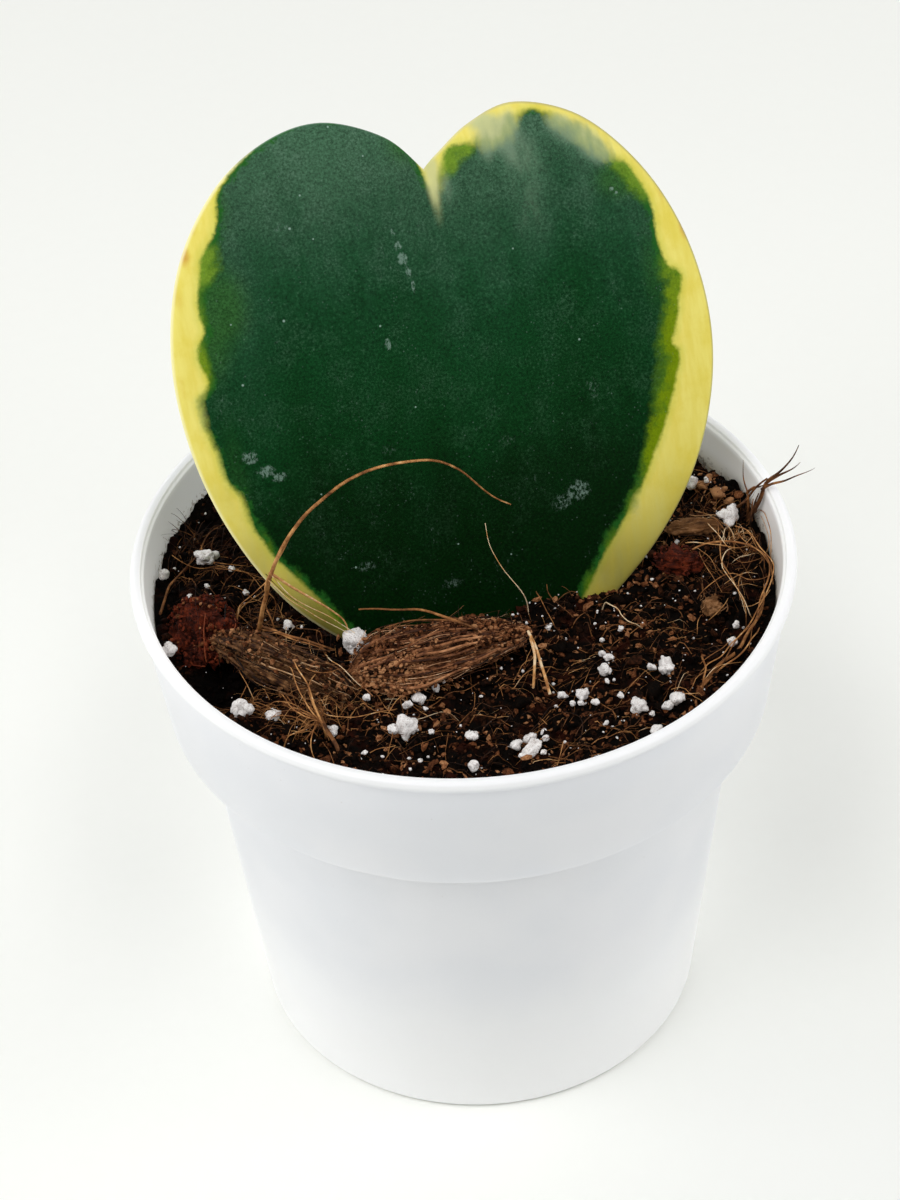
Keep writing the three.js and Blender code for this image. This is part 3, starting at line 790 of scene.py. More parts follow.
def makeLeaf():
    shape = leafShape
    bm = bmesh.new()
    bmesh.ops.create_uvsphere(bm, u_segments=shape["around"], v_segments=shape["rings"], radius=1)
    mesh = meshFrom(bm, "leaf")
    ball = np.zeros(len(mesh.vertices) * 3, np.float32)
    mesh.vertices.foreach_get("co", ball)
    x, y, z = ball.reshape(-1, 3).T.astype(float)
    share = np.minimum(1, np.hypot(x, y))  # 0 at the poles, in the leaf's middle, and 1 at its edge
    turn = ((np.arctan2(y, x) - math.pi / 2) / (2 * math.pi)) % 1
    turn[turn > 0.99999] = 0  # both sides of the seam start at the notch
    margin = curveThrough(leafMargin, shape["outlinePoints"])
    turns = np.linspace(0, 1, shape["outlinePoints"])
    edge = np.stack([np.interp(turn, turns, column) for column in margin.T], 1)
    middle = np.array(shape["middle"])
    reach = np.linalg.norm(edge - middle, axis=1)
    across, along = (middle + (edge - middle) * share[:, None]).T
    half = shape["thickness"] / 2 * np.sqrt(1 - share ** shape["edgeBluntness"])
    outward = leafRelief(across, along) + np.sign(z) * half
    mesh.vertices.foreach_set("co", (leafPlace(across, along, outward) * mm).ravel().astype(np.float32))
    setNumbers(mesh, "where", np.stack([across, along, outward], 1))
    setNumbers(mesh, "patch", insideBy(across, along, greenPatch))
    for name, spots in leafSpots.items():
        total = sum(strength * np.exp(-(((across - left) / width) ** 2) - ((along - up) / height) ** 2)
                    for left, up, width, height, strength in spots)
        setNumbers(mesh, name, np.clip(total, -1, 1))
    setNumbers(mesh, "height", along / shape["length"])
    setNumbers(mesh, "under", smoothStep(-z, 0.02, 0.16))
    setNumbers(mesh, "edge", np.clip(1 - (1 - share) * reach / shape["edgeBand"], 0, 1))
    addObject(mesh, "leafBlade", leafMaterial(), "leaf_blade", ["leaf"])


makeLeaf()
print("leaf grown")

# Potting mix: the bed that all crumbs, grains and fibres lie on
mixShape = {
    "level": 87,
    "cells": 176,
    "floor": 3.8,
    "hollow": (-38.5, -19, 48),  # x, y and spread of the dark hollow by the left husk
    "hollowDepth": 5.6,
    "mound": (43, 19, 30),  # and of the heap at the back right
    "moundHeight": 3.2,
    "tone": 0.56,
}


def soilHeight(x, y):
    swell = 0.7 * math.sin(0.11 * x + 1.3) * math.cos(0.13 * y - 0.4)
    lumps = 0.5 * math.sin(0.31 * x - 0.17 * y + 2) + 0.35 * math.sin(0.23 * x + 0.47 * y)
    clods = 0.45 * math.cos(0.71 * x + 0.2 * y) * math.sin(0.53 * y - 0.3 * x)
    wallRise = 1.1 * float(smoothStep(math.hypot(x, y), 36, 51))
    height = mixShape["level"] + swell + lumps + clods + wallRise
    return height - mixShape["hollowDepth"] * hollowAt(x, y) + mixShape["moundHeight"] * moundAt(x, y)


def nearSpot(x, y, spot):  # 1 in the middle, 0 far from it
    return math.exp(-((x - spot[0]) ** 2 + (y - spot[1]) ** 2) / spot[2])


def hollowAt(x, y):
    return nearSpot(x, y, mixShape["hollow"])


def moundAt(x, y):
    return nearSpot(x, y, mixShape["mound"])


def bedHeight(x, y):  # the soil's height with its crumbly surface
    coarse = noise.noise(Vector((x, y, 3)) * 0.36)
    crumbly = noise.turbulence(Vector((x, y, 9)) * 0.6, 3, True)
    return soilHeight(x, y) + 1.1 * coarse + 1.5 * crumbly - 1.6


mixFinish = {
    "tones": [
        (0.0, (3, 1, 0)), (0.3, (18, 8, 3)), (0.55, (62, 33, 18)), (0.8, (122, 74, 44)),
        (1.0, (178, 128, 88)),
    ],
    "reddish": (78, 30, 14),
}


def mixMaterial(name, toned):
    material, shader, place = newMaterial(name, Specular_IOR_Level=0.06)
    grainy = noiseOn(place, 0.45, 4.0, 0.7)
    tone = attribute(place, "tone")
    if not toned:
        tone = tone * rise(noiseOn(place, 1.4, 4.0, 0.65), 0.42, 0.9)
    colour = ramped(tone + grainy - 0.5, mixFinish["tones"])
    redder = rise(noiseOn(place, 4.0, 3.0), 0.52, 0.8) * 0.35
    colour = blend(colour, tint(*mixFinish["reddish"]), redder)
    fine = noiseOn(place, 0.28, 3.0, 0.65)
    dress(shader, place, colour, 0.6 + 0.3 * fine, fine, depth=0.2, strength=0.8)
    return material


def makeMixBed():
    shape = potShape
    top = collarRadius(mixShape["level"]) - shape["wall"] - 0.15
    bm = bmesh.new()
    bmesh.ops.create_grid(bm, x_segments=mixShape["cells"], y_segments=mixShape["cells"], size=1)
    for vert in bm.verts:  # the square grid is drawn out to a disc
        u, v = vert.co.x, vert.co.y
        x, y = top * u * math.sqrt(1 - v * v / 2), top * v * math.sqrt(1 - u * u / 2)
        vert.co = Vector((x, y, bedHeight(x, y))) * mm
    inset = shape["wall"] + 0.4
    rings = [  # radius, height of the sides down to the floor
        (top - 0.2, 82), (collarRadius(72) - inset, 71.4), (bodyRadius(69) - inset, 68.8),
        (bodyRadius(5) - inset, 5), (bodyRadius(4) - inset - 1, mixShape["floor"]),
    ]
    border = [edge for edge in bm.edges if edge.is_boundary]
    for radius, height in rings:
        made = bmesh.ops.extrude_edge_only(bm, edges=border)["geom"]
        border = [item for item in made if isinstance(item, bmesh.types.BMEdge)]
        for vert in {vert for edge in border for vert in edge.verts}:
            flat = vert.co.to_2d().normalized() * radius * mm
            vert.co = Vector((flat.x, flat.y, height * mm))
    bmesh.ops.holes_fill(bm, edges=border, sides=0)
    bed = addPiece(bm, "mixBed", mixMaterial("mixBedSoil", False), "potting_mix", ["potting_mix"])
    spots = [vert.co / mm for vert in bed.data.vertices]
    # painted shade: the bed is darker in the hollow
    tones = [mixShape["tone"] * (1 - 0.9 * hollowAt(spot.x, spot.y)) for spot in spots]
    setNumbers(bed.data, "tone", tones)


makeMixBed()
print("mix bed laid")


# Small pieces strewn on the bed
def randomTurn(dice):
    axis = Vector((dice.gauss(0, 1), dice.gauss(0, 1), dice.gauss(0, 1))).normalized()
    return Matrix.Rotation(dice.uniform(0, math.tau), 4, axis)


def lumpInto(bm, toneLayer, spot, size, dice, detail, jitter, tone):
    verts = bmesh.ops.create_icosphere(bm, subdivisions=detail, radius=0.5)["verts"]
    shift = Vector((dice.uniform(0, 90), dice.uniform(0, 90), dice.uniform(0, 90)))
    for vert in verts:
        rough = noise.noise(vert.co * 2.2 + shift) + 0.3 * noise.noise(vert.co * 6 + shift)
        vert.co *= 1 + jitter * rough
        vert[toneLayer] = tone
    shape = Matrix.Diagonal((*(s * mm for s in size), 1))
    place = Matrix.Translation(Vector(spot) * mm) @ randomTurn(dice) @ shape
    bmesh.ops.transform(bm, matrix=place, verts=verts)


# Many small lumps as one piece, made in batches, which is quicker
def addPile(name, lumps, dice, material, slotName, nodes=(), smooth=True):
    batchSize = 40
    pile = bmesh.new()
    batch = bpy.data.meshes.new("batch")
    for first in range(0, len(lumps), batchSize):
        bm = bmesh.new()
        toneLayer = bm.verts.layers.float.new("tone")
        for spot, size, detail, jitter, tone in lumps[first:first + batchSize]:
            lumpInto(bm, toneLayer, spot, size, dice, detail, jitter, tone)
        bm.to_mesh(batch)
        bm.free()
        pile.from_mesh(batch)
    bpy.data.meshes.remove(batch)
    addPiece(pile, name, material, slotName, nodes, smooth, merge=weldStrewn)


def strewn(dice, radius):
    angle, reach = dice.uniform(0, math.tau), radius * math.sqrt(dice.random())
    return reach * math.cos(angle), reach * math.sin(angle)


def skewed(dice, low, high, power):  # a draw from low to high, with most near low
    return low + (high - low) * dice.random() ** power


crumbSoil = mixMaterial("crumbSoil", True)
crumbSet = {
    "reach": 50.4,
    "kinds": [  # name, count, detail, smallest and widest in mm, darkest and lightest tone
        ("mixDust", 9000, 1, 0.25, 0.7, 0.05, 1.0),
        ("mixCrumbs", 6500, 1, 0.5, 1.3, 0.0, 0.95),
        ("mixClods", 90, 2, 1.4, 2.6, 0.1, 0.6),
        ("mixFlakes", 420, 1, 0.9, 2.4, 0.3, 0.9),
    ],
    "flakeThinness": 0.35,
    "tan": [  # x, y and width of the pale chips on the heap
        (41.5, 19.5, 2.4), (43.6, 17.4, 2.6), (44.8, 18.6, 1.6), (40.4, 21, 1.6), (45.6, 16.4, 1.8),
        (42.6, 20.6, 1.2),
    ],
    "tanTone": 1.15,
    "seed": 41,
}


def crumbTone(dice, x, y, dark, light):  # painted shade in the hollow, darker by the right wall and towards the left, and mixed on the heap
    tone = skewed(dice, dark, light, 2) * (1 - 0.92 * hollowAt(x, y))
    byWall = 0.35 * float(smoothStep(x, 34, 44)) * (1 - moundAt(x, y))
    tone *= 1 - 0.4 * float(smoothStep(-x, 18, 40)) - byWall
    return tone + 0.7 * moundAt(x, y) * dice.random()


def makeCrumbs():
    dice = random.Random(crumbSet["seed"])
    for name, count, detail, thin, wide, dark, light in crumbSet["kinds"]:
        flat = crumbSet["flakeThinness"] if name == "mixFlakes" else 1
        crumbs = []
        for i in range(count):
            x, y = strewn(dice, crumbSet["reach"])
            width = skewed(dice, thin, wide, 1.6)
            size = (width * dice.uniform(0.9, 1.8), width * dice.uniform(0.6, 1),
                    width * flat * dice.uniform(0.5, 0.9))
            spot = (x, y, bedHeight(x, y) + dice.uniform(0, 0.6) * width * flat)
            crumbs.append((spot, size, detail, 0.8, crumbTone(dice, x, y, dark, light)))
        addPile(name, crumbs, dice, crumbSoil, "potting_mix", ["potting_mix"], smooth=detail > 1)
    chips = []
    for x, y, width in crumbSet["tan"]:
        spot = (x, y, bedHeight(x, y) + 0.3 * width)
        chips.append((spot, (width, width * 0.8, width * 0.6), 2, 0.9, crumbSet["tanTone"]))
    addPile("mixChips", chips, dice, crumbSoil, "potting_mix")


makeCrumbs()
print("crumbs strewn")

# Perlite: where the white grains lie and how wide they are, and how many more are strewn
perliteSet = {
    "grains": [
        (-17.8, -13.8, 4.6), (-43, 8.8, 3.2), (-41.6, 9.6, 1.5), (-50, 5, 2), (-48.5, -14, 2.6),
        (-36.5, -28.3, 3.6), (-31.7, -29, 2.2), (-22.3, -33.3, 2.1), (-10.2, -33.2, 3.4),
        (-12.6, -33.8, 1.8), (-8.3, -25.8, 2.5), (-10.1, -28, 1.8), (-7.2, -28.2, 1), (-5.4, -23.2, 1.3),
        (-4.2, -22.3, 0.9), (-16.6, -26.9, 1.2), (-6.4, -35, 1.1), (0, -37, 2.2), (0, -43.5, 2),
        (9, -37.1, 2.2), (6.8, -38.8, 2), (9.3, -40.5, 2.9), (8, -42, 1.4), (11, -41.6, 1.1),
        (11.4, -35.2, 1), (11.6, -37.3, 1.1), (7.7, -13, 1.3), (13.4, -11.7, 1.2), (14.8, -27.1, 1.6),
        (18.1, -27.4, 2.1), (17.7, -29.4, 1.1), (16.3, -29.1, 1.1), (19.9, -30.1, 1.3),
        (21.8, -22.9, 2.3), (22.6, -20.4, 1.4), (21.7, -18.8, 1.3), (22.1, -25.5, 1), (24, -28.8, 1.1),
        (26.5, -31.7, 3), (32.8, -30.3, 2.6), (31.4, -31.6, 1.7), (31.9, -23.2, 3), (31.5, -20.3, 0.9),
        (29.3, -23.7, 1.5), (28.8, -32.8, 1.1), (21.3, -35.5, 0.9), (29.2, -37.4, 2), (43, -18.2, 1.7),
        (43.9, -13.7, 1.3), (45.3, 11.7, 3.6), (39.7, 20.9, 2.4), (42, 19.7, 1.1), (36.2, 9.6, 0.9),
        (-29.2, -8.8, 2), (-28.4, -16.4, 1.3), (25.2, -12.8, 1.1), (22.1, -13.8, 0.8), (-42.7, 2.2, 0.9),
        (-36.4, 2, 1.1), (-45.5, -1.1, 0.9), (-37.8, -7.9, 0.8), (-17.1, -38.7, 0.9), (-8.4, -41.6, 0.9),
    ],
    "hiddenGrains": 16,  # behind the leaf, where the view from the front doesn't reach
    "reach": 48,
    "specks": 430,
    "speckReach": 50,
    "fineFrom": 2.4,  # grains from this width on have a finer skin
    "lobeFrom": 1.9,  # and from this one a lobe
    "lobe": 0.62,
    "shrink": 0.92,  # the grains were measured with their rough skin
    "seed": 7,
}
perliteFinish = {
    "light": (250, 248, 246),
    "shade": (218, 209, 205),
    "stain": (120, 96, 84),
    "poreShade": (150, 136, 130),
    "grime": (52, 34, 24),
}


def perliteMaterial():
    material, shader, place = newMaterial("perliteFoam")
    finish = tints(perliteFinish)
    fine = noiseOn(place, 0.22, 4.0, 0.65)
    colour = blend(finish["light"], finish["shade"], rise(fine, 0.35, 0.7))
    stain = rise(noiseOn(place, 1.1, 4.0, 0.7), 0.52, 0.72)
    colour = blend(colour, finish["stain"], stain * 0.6)
    # painted shade in the pores, which the bump also sinks
    hole = 1 - rise(cellsOn(place, 2.6), 0.1, 0.34)
    colour = blend(colour, finish["poreShade"], hole * 0.5)
    grime = rise(noiseOn(place, 0.5, 2.0, 0.6), 0.68, 0.73) * rise(noiseOn(place, 3.0, 2.0), 0.42, 0.6)
    colour = blend(colour, finish["grime"], grime * 0.9)
    dress(shader, place, colour, 0.72 + 0.2 * fine, fine - 0.8 * hole, depth=0.16, strength=0.8)
    return material


def grainLumps(dice, x, y, width):  # one grain, with a smaller lobe at its side if it is wide
    size = tuple(width * dice.uniform(*span) for span in ((0.95, 1.15), (0.8, 1.05), (0.75, 0.95)))
    spot = (x, y, soilHeight(x, y) + 0.16 * width + 0.25)
    found = [(spot, size, 4 if width > perliteSet["fineFrom"] else 3, 0.62, 0)]
    if width > perliteSet["lobeFrom"]:
        angle, off = dice.uniform(0, math.tau), 0.33 * width
        side = (x + off * math.cos(angle), y + off * math.sin(angle), spot[2] + 0.05 * width)
        found.append((side, tuple(perliteSet["lobe"] * s for s in size), 3, 0.6, 0))
    return found


def makePerlite():
    dice = random.Random(perliteSet["seed"])
    grains = list(perliteSet["grains"])
    while len(grains) < len(perliteSet["grains"]) + perliteSet["hiddenGrains"]:
        x, y = strewn(dice, perliteSet["reach"])
        if y > 10 + 0.25 * x:  # behind the leaf
            grains.append((x, y, skewed(dice, 1.2, 3.8, 2)))
    lumps = []
    for x, y, width in grains:
        lumps += grainLumps(dice, x, y, width * perliteSet["shrink"])
    for i in range(perliteSet["specks"]):
        x, y = strewn(dice, perliteSet["speckReach"])
        width = skewed(dice, 0.25, 0.8, 2)
        spot = (x, y, bedHeight(x, y) + 0.4 + dice.uniform(0, 0.8))
        lumps.append((spot, (width, width * 0.8, width * 0.7), 1, 0.4, 0))
    addPile("perliteGrains", lumps, dice, perliteMaterial(), "perlite")


makePerlite()
print("perlite strewn")


# Fibres: strands of (points, thickness at the root, at the tip, tone), in mm
def strandPiece(name, strands, material, slotName, nodes=(), sides=6):
    curve = bpy.data.curves.new(name, "CURVE")
    curve.dimensions = "3D"
    curve.bevel_depth = mm / 2
    curve.bevel_resolution = (sides - 4) // 2
    pointed = 0.3  # how far a strand's end runs out to a point, as a share of its thickness
    tones = []
    for points, root, tip, tone in strands:
        share = np.linspace(0, 1, len(points))
        radii = root + (tip - root) * share**0.9
        first = beyond(points[0], points[1], pointed * root)
        last = beyond(points[-1], points[-2], pointed * tip)
        points = np.vstack([first, points, last])
        spline = curve.splines.new("POLY")
        spline.points.add(len(points) - 1)
        spline.points.foreach_set("co", np.hstack([points * mm, np.ones((len(points), 1))]).ravel())
        spline.points.foreach_set("radius", np.concatenate([[0], radii, [0]]))
        tones.append(np.full(len(points) * sides, tone))
    holder = newObject(name + "Curve", curve)
    shaped = holder.evaluated_get(bpy.context.evaluated_depsgraph_get())
    mesh = bpy.data.meshes.new_from_object(shaped)
    bpy.data.objects.remove(holder)
    setNumbers(mesh, "tone", np.concatenate(tones))
    bm = bmesh.new()
    bm.from_mesh(mesh)
    addPiece(bm, name, material, slotName, nodes, merge=weldStrewn)


def beyond(end, before, distance):  # a point that far past a strand's end
    return end + (end - before) * distance / np.linalg.norm(end - before)


# A smooth strand with bends of its own, in mm
def wandering(points, dice, wobble, step=0.9, wave=6):
    length = np.linalg.norm(np.diff(np.array(points, float), axis=0), axis=1).sum()
    count = max(6, round(length / step))
    line = curveThrough(points, count)
    starts = [dice.uniform(0, 50) for i in range(3)]
    places = np.linspace(0, length / wave, count)
    bends = [[noise.noise(Vector((start + place, start, 0))) for start in starts] for place in places]
    bends = np.array(bends)
    bends *= np.sin(np.linspace(0, math.pi, count))[:, None] ** 0.3
    return line + wobble * bends


def fibreMaterial(name, tones):
    material, shader, place = newMaterial(name, Specular_IOR_Level=0.2)
    tone = attribute(place, "tone")
    grain = noiseOn(place, 0.5, 3.0, 0.6)
    stretches = noiseOn(place, 2.2, 2.0)
    level = tone + 0.45 * (grain - 0.5) + 1.1 * (stretches - 0.5)
    colour = ramped(level, tones)
    fine = noiseOn(place, 0.12, 2.0)
    dress(shader, place, colour, 0.55 + 0.25 * grain, fine, depth=0.05, strength=0.6)
    return material


fibreTones = [
    (0.0, (30, 15, 8)), (0.3, (84, 50, 26)), (0.6, (150, 98, 54)), (0.85, (206, 152, 94)),
    (1.0, (232, 206, 168)),
]
fibreStuff = fibreMaterial("coirFibre", fibreTones)

archFibre = [
    [(-34.9, -8.6, 82), (-34.3, -9.1, 86.5), (-33.1, -11, 93), (-32, -12, 99.2), (-31.1, -12.5, 102.8),
     (-28.3, -12.5, 109.4), (-23, -12, 116.5), (-15.7, -10, 120.6), (-9.3, -8, 121), (-4.5, -5.5, 119.4),
     (0.2, -3, 114.8), (4.9, -0.6, 107.4), (8.2, 0.7, 104)],
    [(-31.2, -12.5, 103.2), (-28.1, -12.4, 100.4), (-25, -12.4, 97.6), (-21.6, -12.6, 94.4),
     (-19.4, -12.9, 91.5), (-19.2, -13.2, 85)],
    [(-32, -12, 98.6), (-31.6, -12.6, 102), (-29.6, -12.7, 106.4), (-27.4, -12.5, 110.6)],
]
curledFibre = [
    [(10.8, -6.2, 83), (9.9, -6, 89.2), (6.8, -4.8, 94.5), (4.5, -2.9, 98.4), (3.9, -1.1, 101.8)],
]
huskFibre = [
    [(3.4, -16.4, 90.6), (-0.4, -15.6, 93), (-3.9, -14.3, 93.7), (-7.5, -12.7, 93.9), (-10.4, -12.5, 94),
     (-14, -12.2, 94), (-17.3, -11.6, 93.7)],
    [(4, -17, 90.6), (0.7, -16.2, 92.9), (-2.5, -15.3, 93.5), (-6.1, -14.8, 93.6), (-9.7, -14.8, 93.4),
     (-13.4, -15.6, 92.8), (-16, -16.4, 91)],
]
longStraw = [[(9.9, -17, 92), (10.9, -19.8, 91.2), (11.8, -23.3, 89.6), (12.8, -27.4, 87.6)]]
shortStraw = [[(10.2, -18.8, 92), (10.7, -21.5, 91), (10.5, -23.7, 90), (10.2, -25.8, 87.6)]]
rootTuft = [
    [(48.4, 13.4, 83), (48.7, 13.1, 87), (49.5, 12.4, 91.2), (51.2, 12, 96.4), (53.4, 11.5, 98.8),
     (55, 11, 102), (56.3, 10.5, 105.5)],
    [(51.2, 12, 96.4), (52.8, 11.7, 97.6), (55.2, 10.8, 100), (56.6, 10, 102.3)],
    [(50.6, 12.1, 95), (52.2, 11.2, 96.9), (54.4, 10.2, 98.4), (56.6, 9.4, 100.2), (58.9, 8.9, 101.8)],
    [(48.8, 13.4, 86), (48.4, 13, 91), (48.3, 12.5, 94.7), (47.5, 12, 98.4), (47.3, 12, 101.7)],
    [(48.2, 13, 93.6), (49.2, 12.8, 95), (50.4, 12.2, 95.6), (51.4, 12, 96.6)],
]
rootMat = [
    [(37.2, 5.6, 84), (38, 5.1, 88.4), (43, 4.5, 90.4), (47, 3.4, 91), (49.2, 0.9, 91.3),
     (50.2, -1.7, 91.4), (50.3, -5.2, 91.3), (49.3, -8.9, 91), (47.7, -12.9, 90.6), (46, -16, 90.2),
     (44.1, -18.7, 89.8), (41.3, -22.8, 89.2), (37.8, -25.7, 88.4), (36.2, -29, 84)],
    [(40, 13, 84), (40.6, 12.2, 88.4), (42.6, 9.6, 90.6), (43.2, 4.4, 90.4)],
    [(43.1, 4.4, 90.4), (42.9, 0.4, 90.2), (43.3, -2.6, 90.4), (44.5, -6, 90.4), (45.6, -11, 89.4),
     (46, -13, 84)],
    [(46.4, 9, 84), (46.9, 7.8, 88.4), (48, 5.9, 90.8), (48.8, 1.6, 91.3)],
    [(38.4, -4.2, 84), (39.4, -4.4, 88.6), (43.8, -4.6, 90.4), (46.4, -6.1, 90.9), (50.3, -5.4, 91.3)],
]
whiteRoot = [
    [(22.4, -6.8, 86), (23.1, -7.9, 89.3), (23.8, -9.4, 90), (24.9, -10.5, 90), (25.4, -12, 90),
     (26.5, -13.1, 89.6), (27.8, -12.8, 88.6), (29.2, -11.8, 86)],
]

strandSet = {"step": 0.8, "toneSpread": 0.08, "seed": 12}
# Name, CAD node, slot, routes, thickness at root and tip, side strands' share of it, tone and wander
mainStrands = [
    ("archFibre", "fibre_arch", "fibre", archFibre, 0.85, 0.24, 0.62, 0.7, 0.4),
    ("curledFibre", "fibre_curled", "fibre", curledFibre, 0.18, 0.12, 1, 0.92, 0.3),
    ("huskFibre", "fibre_over_husk", "fibre", huskFibre, 0.6, 0.26, 0.7, 0.52, 0.4),
    ("longStraw", "straw_long", "straw", longStraw, 0.5, 0.5, 1, 0.9, 0.1),
    ("shortStraw", "straw_short", "straw", shortStraw, 0.5, 0.42, 1, 0.85, 0.1),
    ("rootTuft", "root_tuft_right", "root", rootTuft, 1.25, 0.12, 0.5, 0.34, 0.6),
    ("rootMat", "root_mat_right", "root", rootMat, 0.36, 0.16, 0.55, 0.62, 1.0),
    ("whiteRoot", "root_white", "straw", whiteRoot, 0.2, 0.14, 1, 1.0, 0.3),
]


def makeMainStrands():
    dice = random.Random(strandSet["seed"])
    spread = strandSet["toneSpread"]
    for name, node, slotName, routes, root, tip, sideShare, tone, wobble in mainStrands:
        strands = []
        for i, route in enumerate(routes):
            line = wandering(route, dice, wobble, strandSet["step"])
            thin = 1 if i == 0 else sideShare
            strands.append((line, root * thin, tip * thin, tone + dice.uniform(-spread, spread)))
        strandPiece(name, strands, fibreStuff, slotName, [node], sides=8)


makeMainStrands()
print("main fibres placed")

fibreReach = 50  # as far from the pot's middle as fibres go
# Loose fibres that lie all over the bed: centre, spread, count, direction, length, tone
looseFibres = {
    "patches": [
        ((0, 0), 47, 330, None, (2, 8), 0.34),
        ((-24, -25), 9, 130, 150, (4, 13), 0.55),
        ((-14, -30), 9, 70, 20, (4, 12), 0.45),
        ((45, -5), 6, 30, 95, (5, 14), 0.25),
        ((44, 3), 7, 40, 20, (4, 12), 0.3),
        ((45, 6), 3, 36, 60, (3, 8), 0.8),
        ((-32, -6), 5, 50, 120, (3, 9), 0.35),
        ((10, -32), 14, 90, 10, (4, 10), 0.45),
        ((-44, 8), 7, 60, 60, (3, 10), 0.22),
        ((-30, -4), 9, 46, 150, (4, 12), 0.42),
        ((34, 10), 10, 50, 30, (4, 10), 0.45),
        ((24, -22), 14, 80, 0, (3, 9), 0.4),
    ],
    "thickness": (0.06, 0.22),
    "seed": 5,
}


def headingFrom(dice, heading, spread):  # any direction where none is given
    return dice.uniform(0, math.tau) if heading is None else math.radians(heading + dice.gauss(0, spread))


def strewnRoots(dice, patches):  # where each fibre of each patch starts, and how it may run
    for (middleX, middleY), spread, count, heading, lengths, tone in patches:
        for i in range(count):
            x, y = strewn(dice, spread)
            yield middleX + x, middleY + y, heading, lengths, tone


def lyingPoints(x, y, angle, length, curl, lift):  # along the bed, arched a little, with sunk ends
    steps, points = 6, []
    for step in range(steps + 1):
        share = step / steps
        reach = math.hypot(x, y)
        if reach > fibreReach:
            x, y = x * fibreReach / reach, y * fibreReach / reach
        height = bedHeight(x, y) + 0.35 + lift * math.sin(math.pi * share) - 0.9 * (abs(2 * share - 1) ** 4)
        points.append((x, y, height))
        x += length / steps * math.cos(angle)
        y += length / steps * math.sin(angle)
        angle += curl * length / steps
    return points


def makeLooseFibres():
    dice = random.Random(looseFibres["seed"])
    strands = []
    for x, y, heading, (short, long), tone in strewnRoots(dice, looseFibres["patches"]):
        angle = headingFrom(dice, heading, 35)
        length, curl = dice.uniform(short, long) * dice.uniform(0.8, 1.5), dice.gauss(0, 0.08)
        points = lyingPoints(x, y, angle, length, curl, skewed(dice, 0.1, 1.7, 2))
        thick = skewed(dice, *looseFibres["thickness"], 1.8)
        strands.append((wandering(points, dice, 0.6, 1), thick, thick * 0.5, tone + dice.gauss(0, 0.2)))
    strandPiece("looseFibres", strands, fibreStuff, "fibre", sides=4)


makeLooseFibres()
print("loose fibres strewn")


# Single fine fibres seen on the bed: points with their lift over it, thickness at root and tip, tone
fineFibres = [
    ([(-50.4, -4, 0.2), (-48.8, 1.9, 0.9), (-45, 9.7, 1.2), (-43.4, 14.8, 1.4), (-41.3, 17.5, 1.2)],
     0.5, 0.25, 0.42),
    ([(-48.7, 9.5, 0.6), (-44.3, 7.6, 1.2), (-38.9, 6.7, 1.2), (-33.5, 5, 0.6)], 0.17, 0.12, 0.66),
    ([(-42, 8, 0.8), (-37.2, 5.6, 1.2), (-33.5, 2.2, 0.6)], 0.16, 0.1, 0.6),
    ([(-37.9, -8.9, 0), (-37.9, -5, 1.5), (-36.8, -2.1, 2.2), (-34.2, -0.2, 2), (-32.5, 3.7, 1)],
     0.22, 0.12, 0.75),
    ([(-38.4, -4.9, 0.5), (-35.5, 0.4, 1.5), (-32.2, 4.7, 0.8)], 0.3, 0.2, 0.6),
    ([(36.1, -28.7, -0.5), (39, -24.7, 1.2), (43.3, -20.2, 1.6), (47.2, -13.2, 1.6), (49.2, -6.5, 1.2)],
     0.9, 0.3, 0.55),
    ([(36.9, -27.4, 0), (40.3, -24.8, 1), (45.2, -20.8, 1.4), (47.6, -15.1, 1)], 0.4, 0.2, 0.65),
]
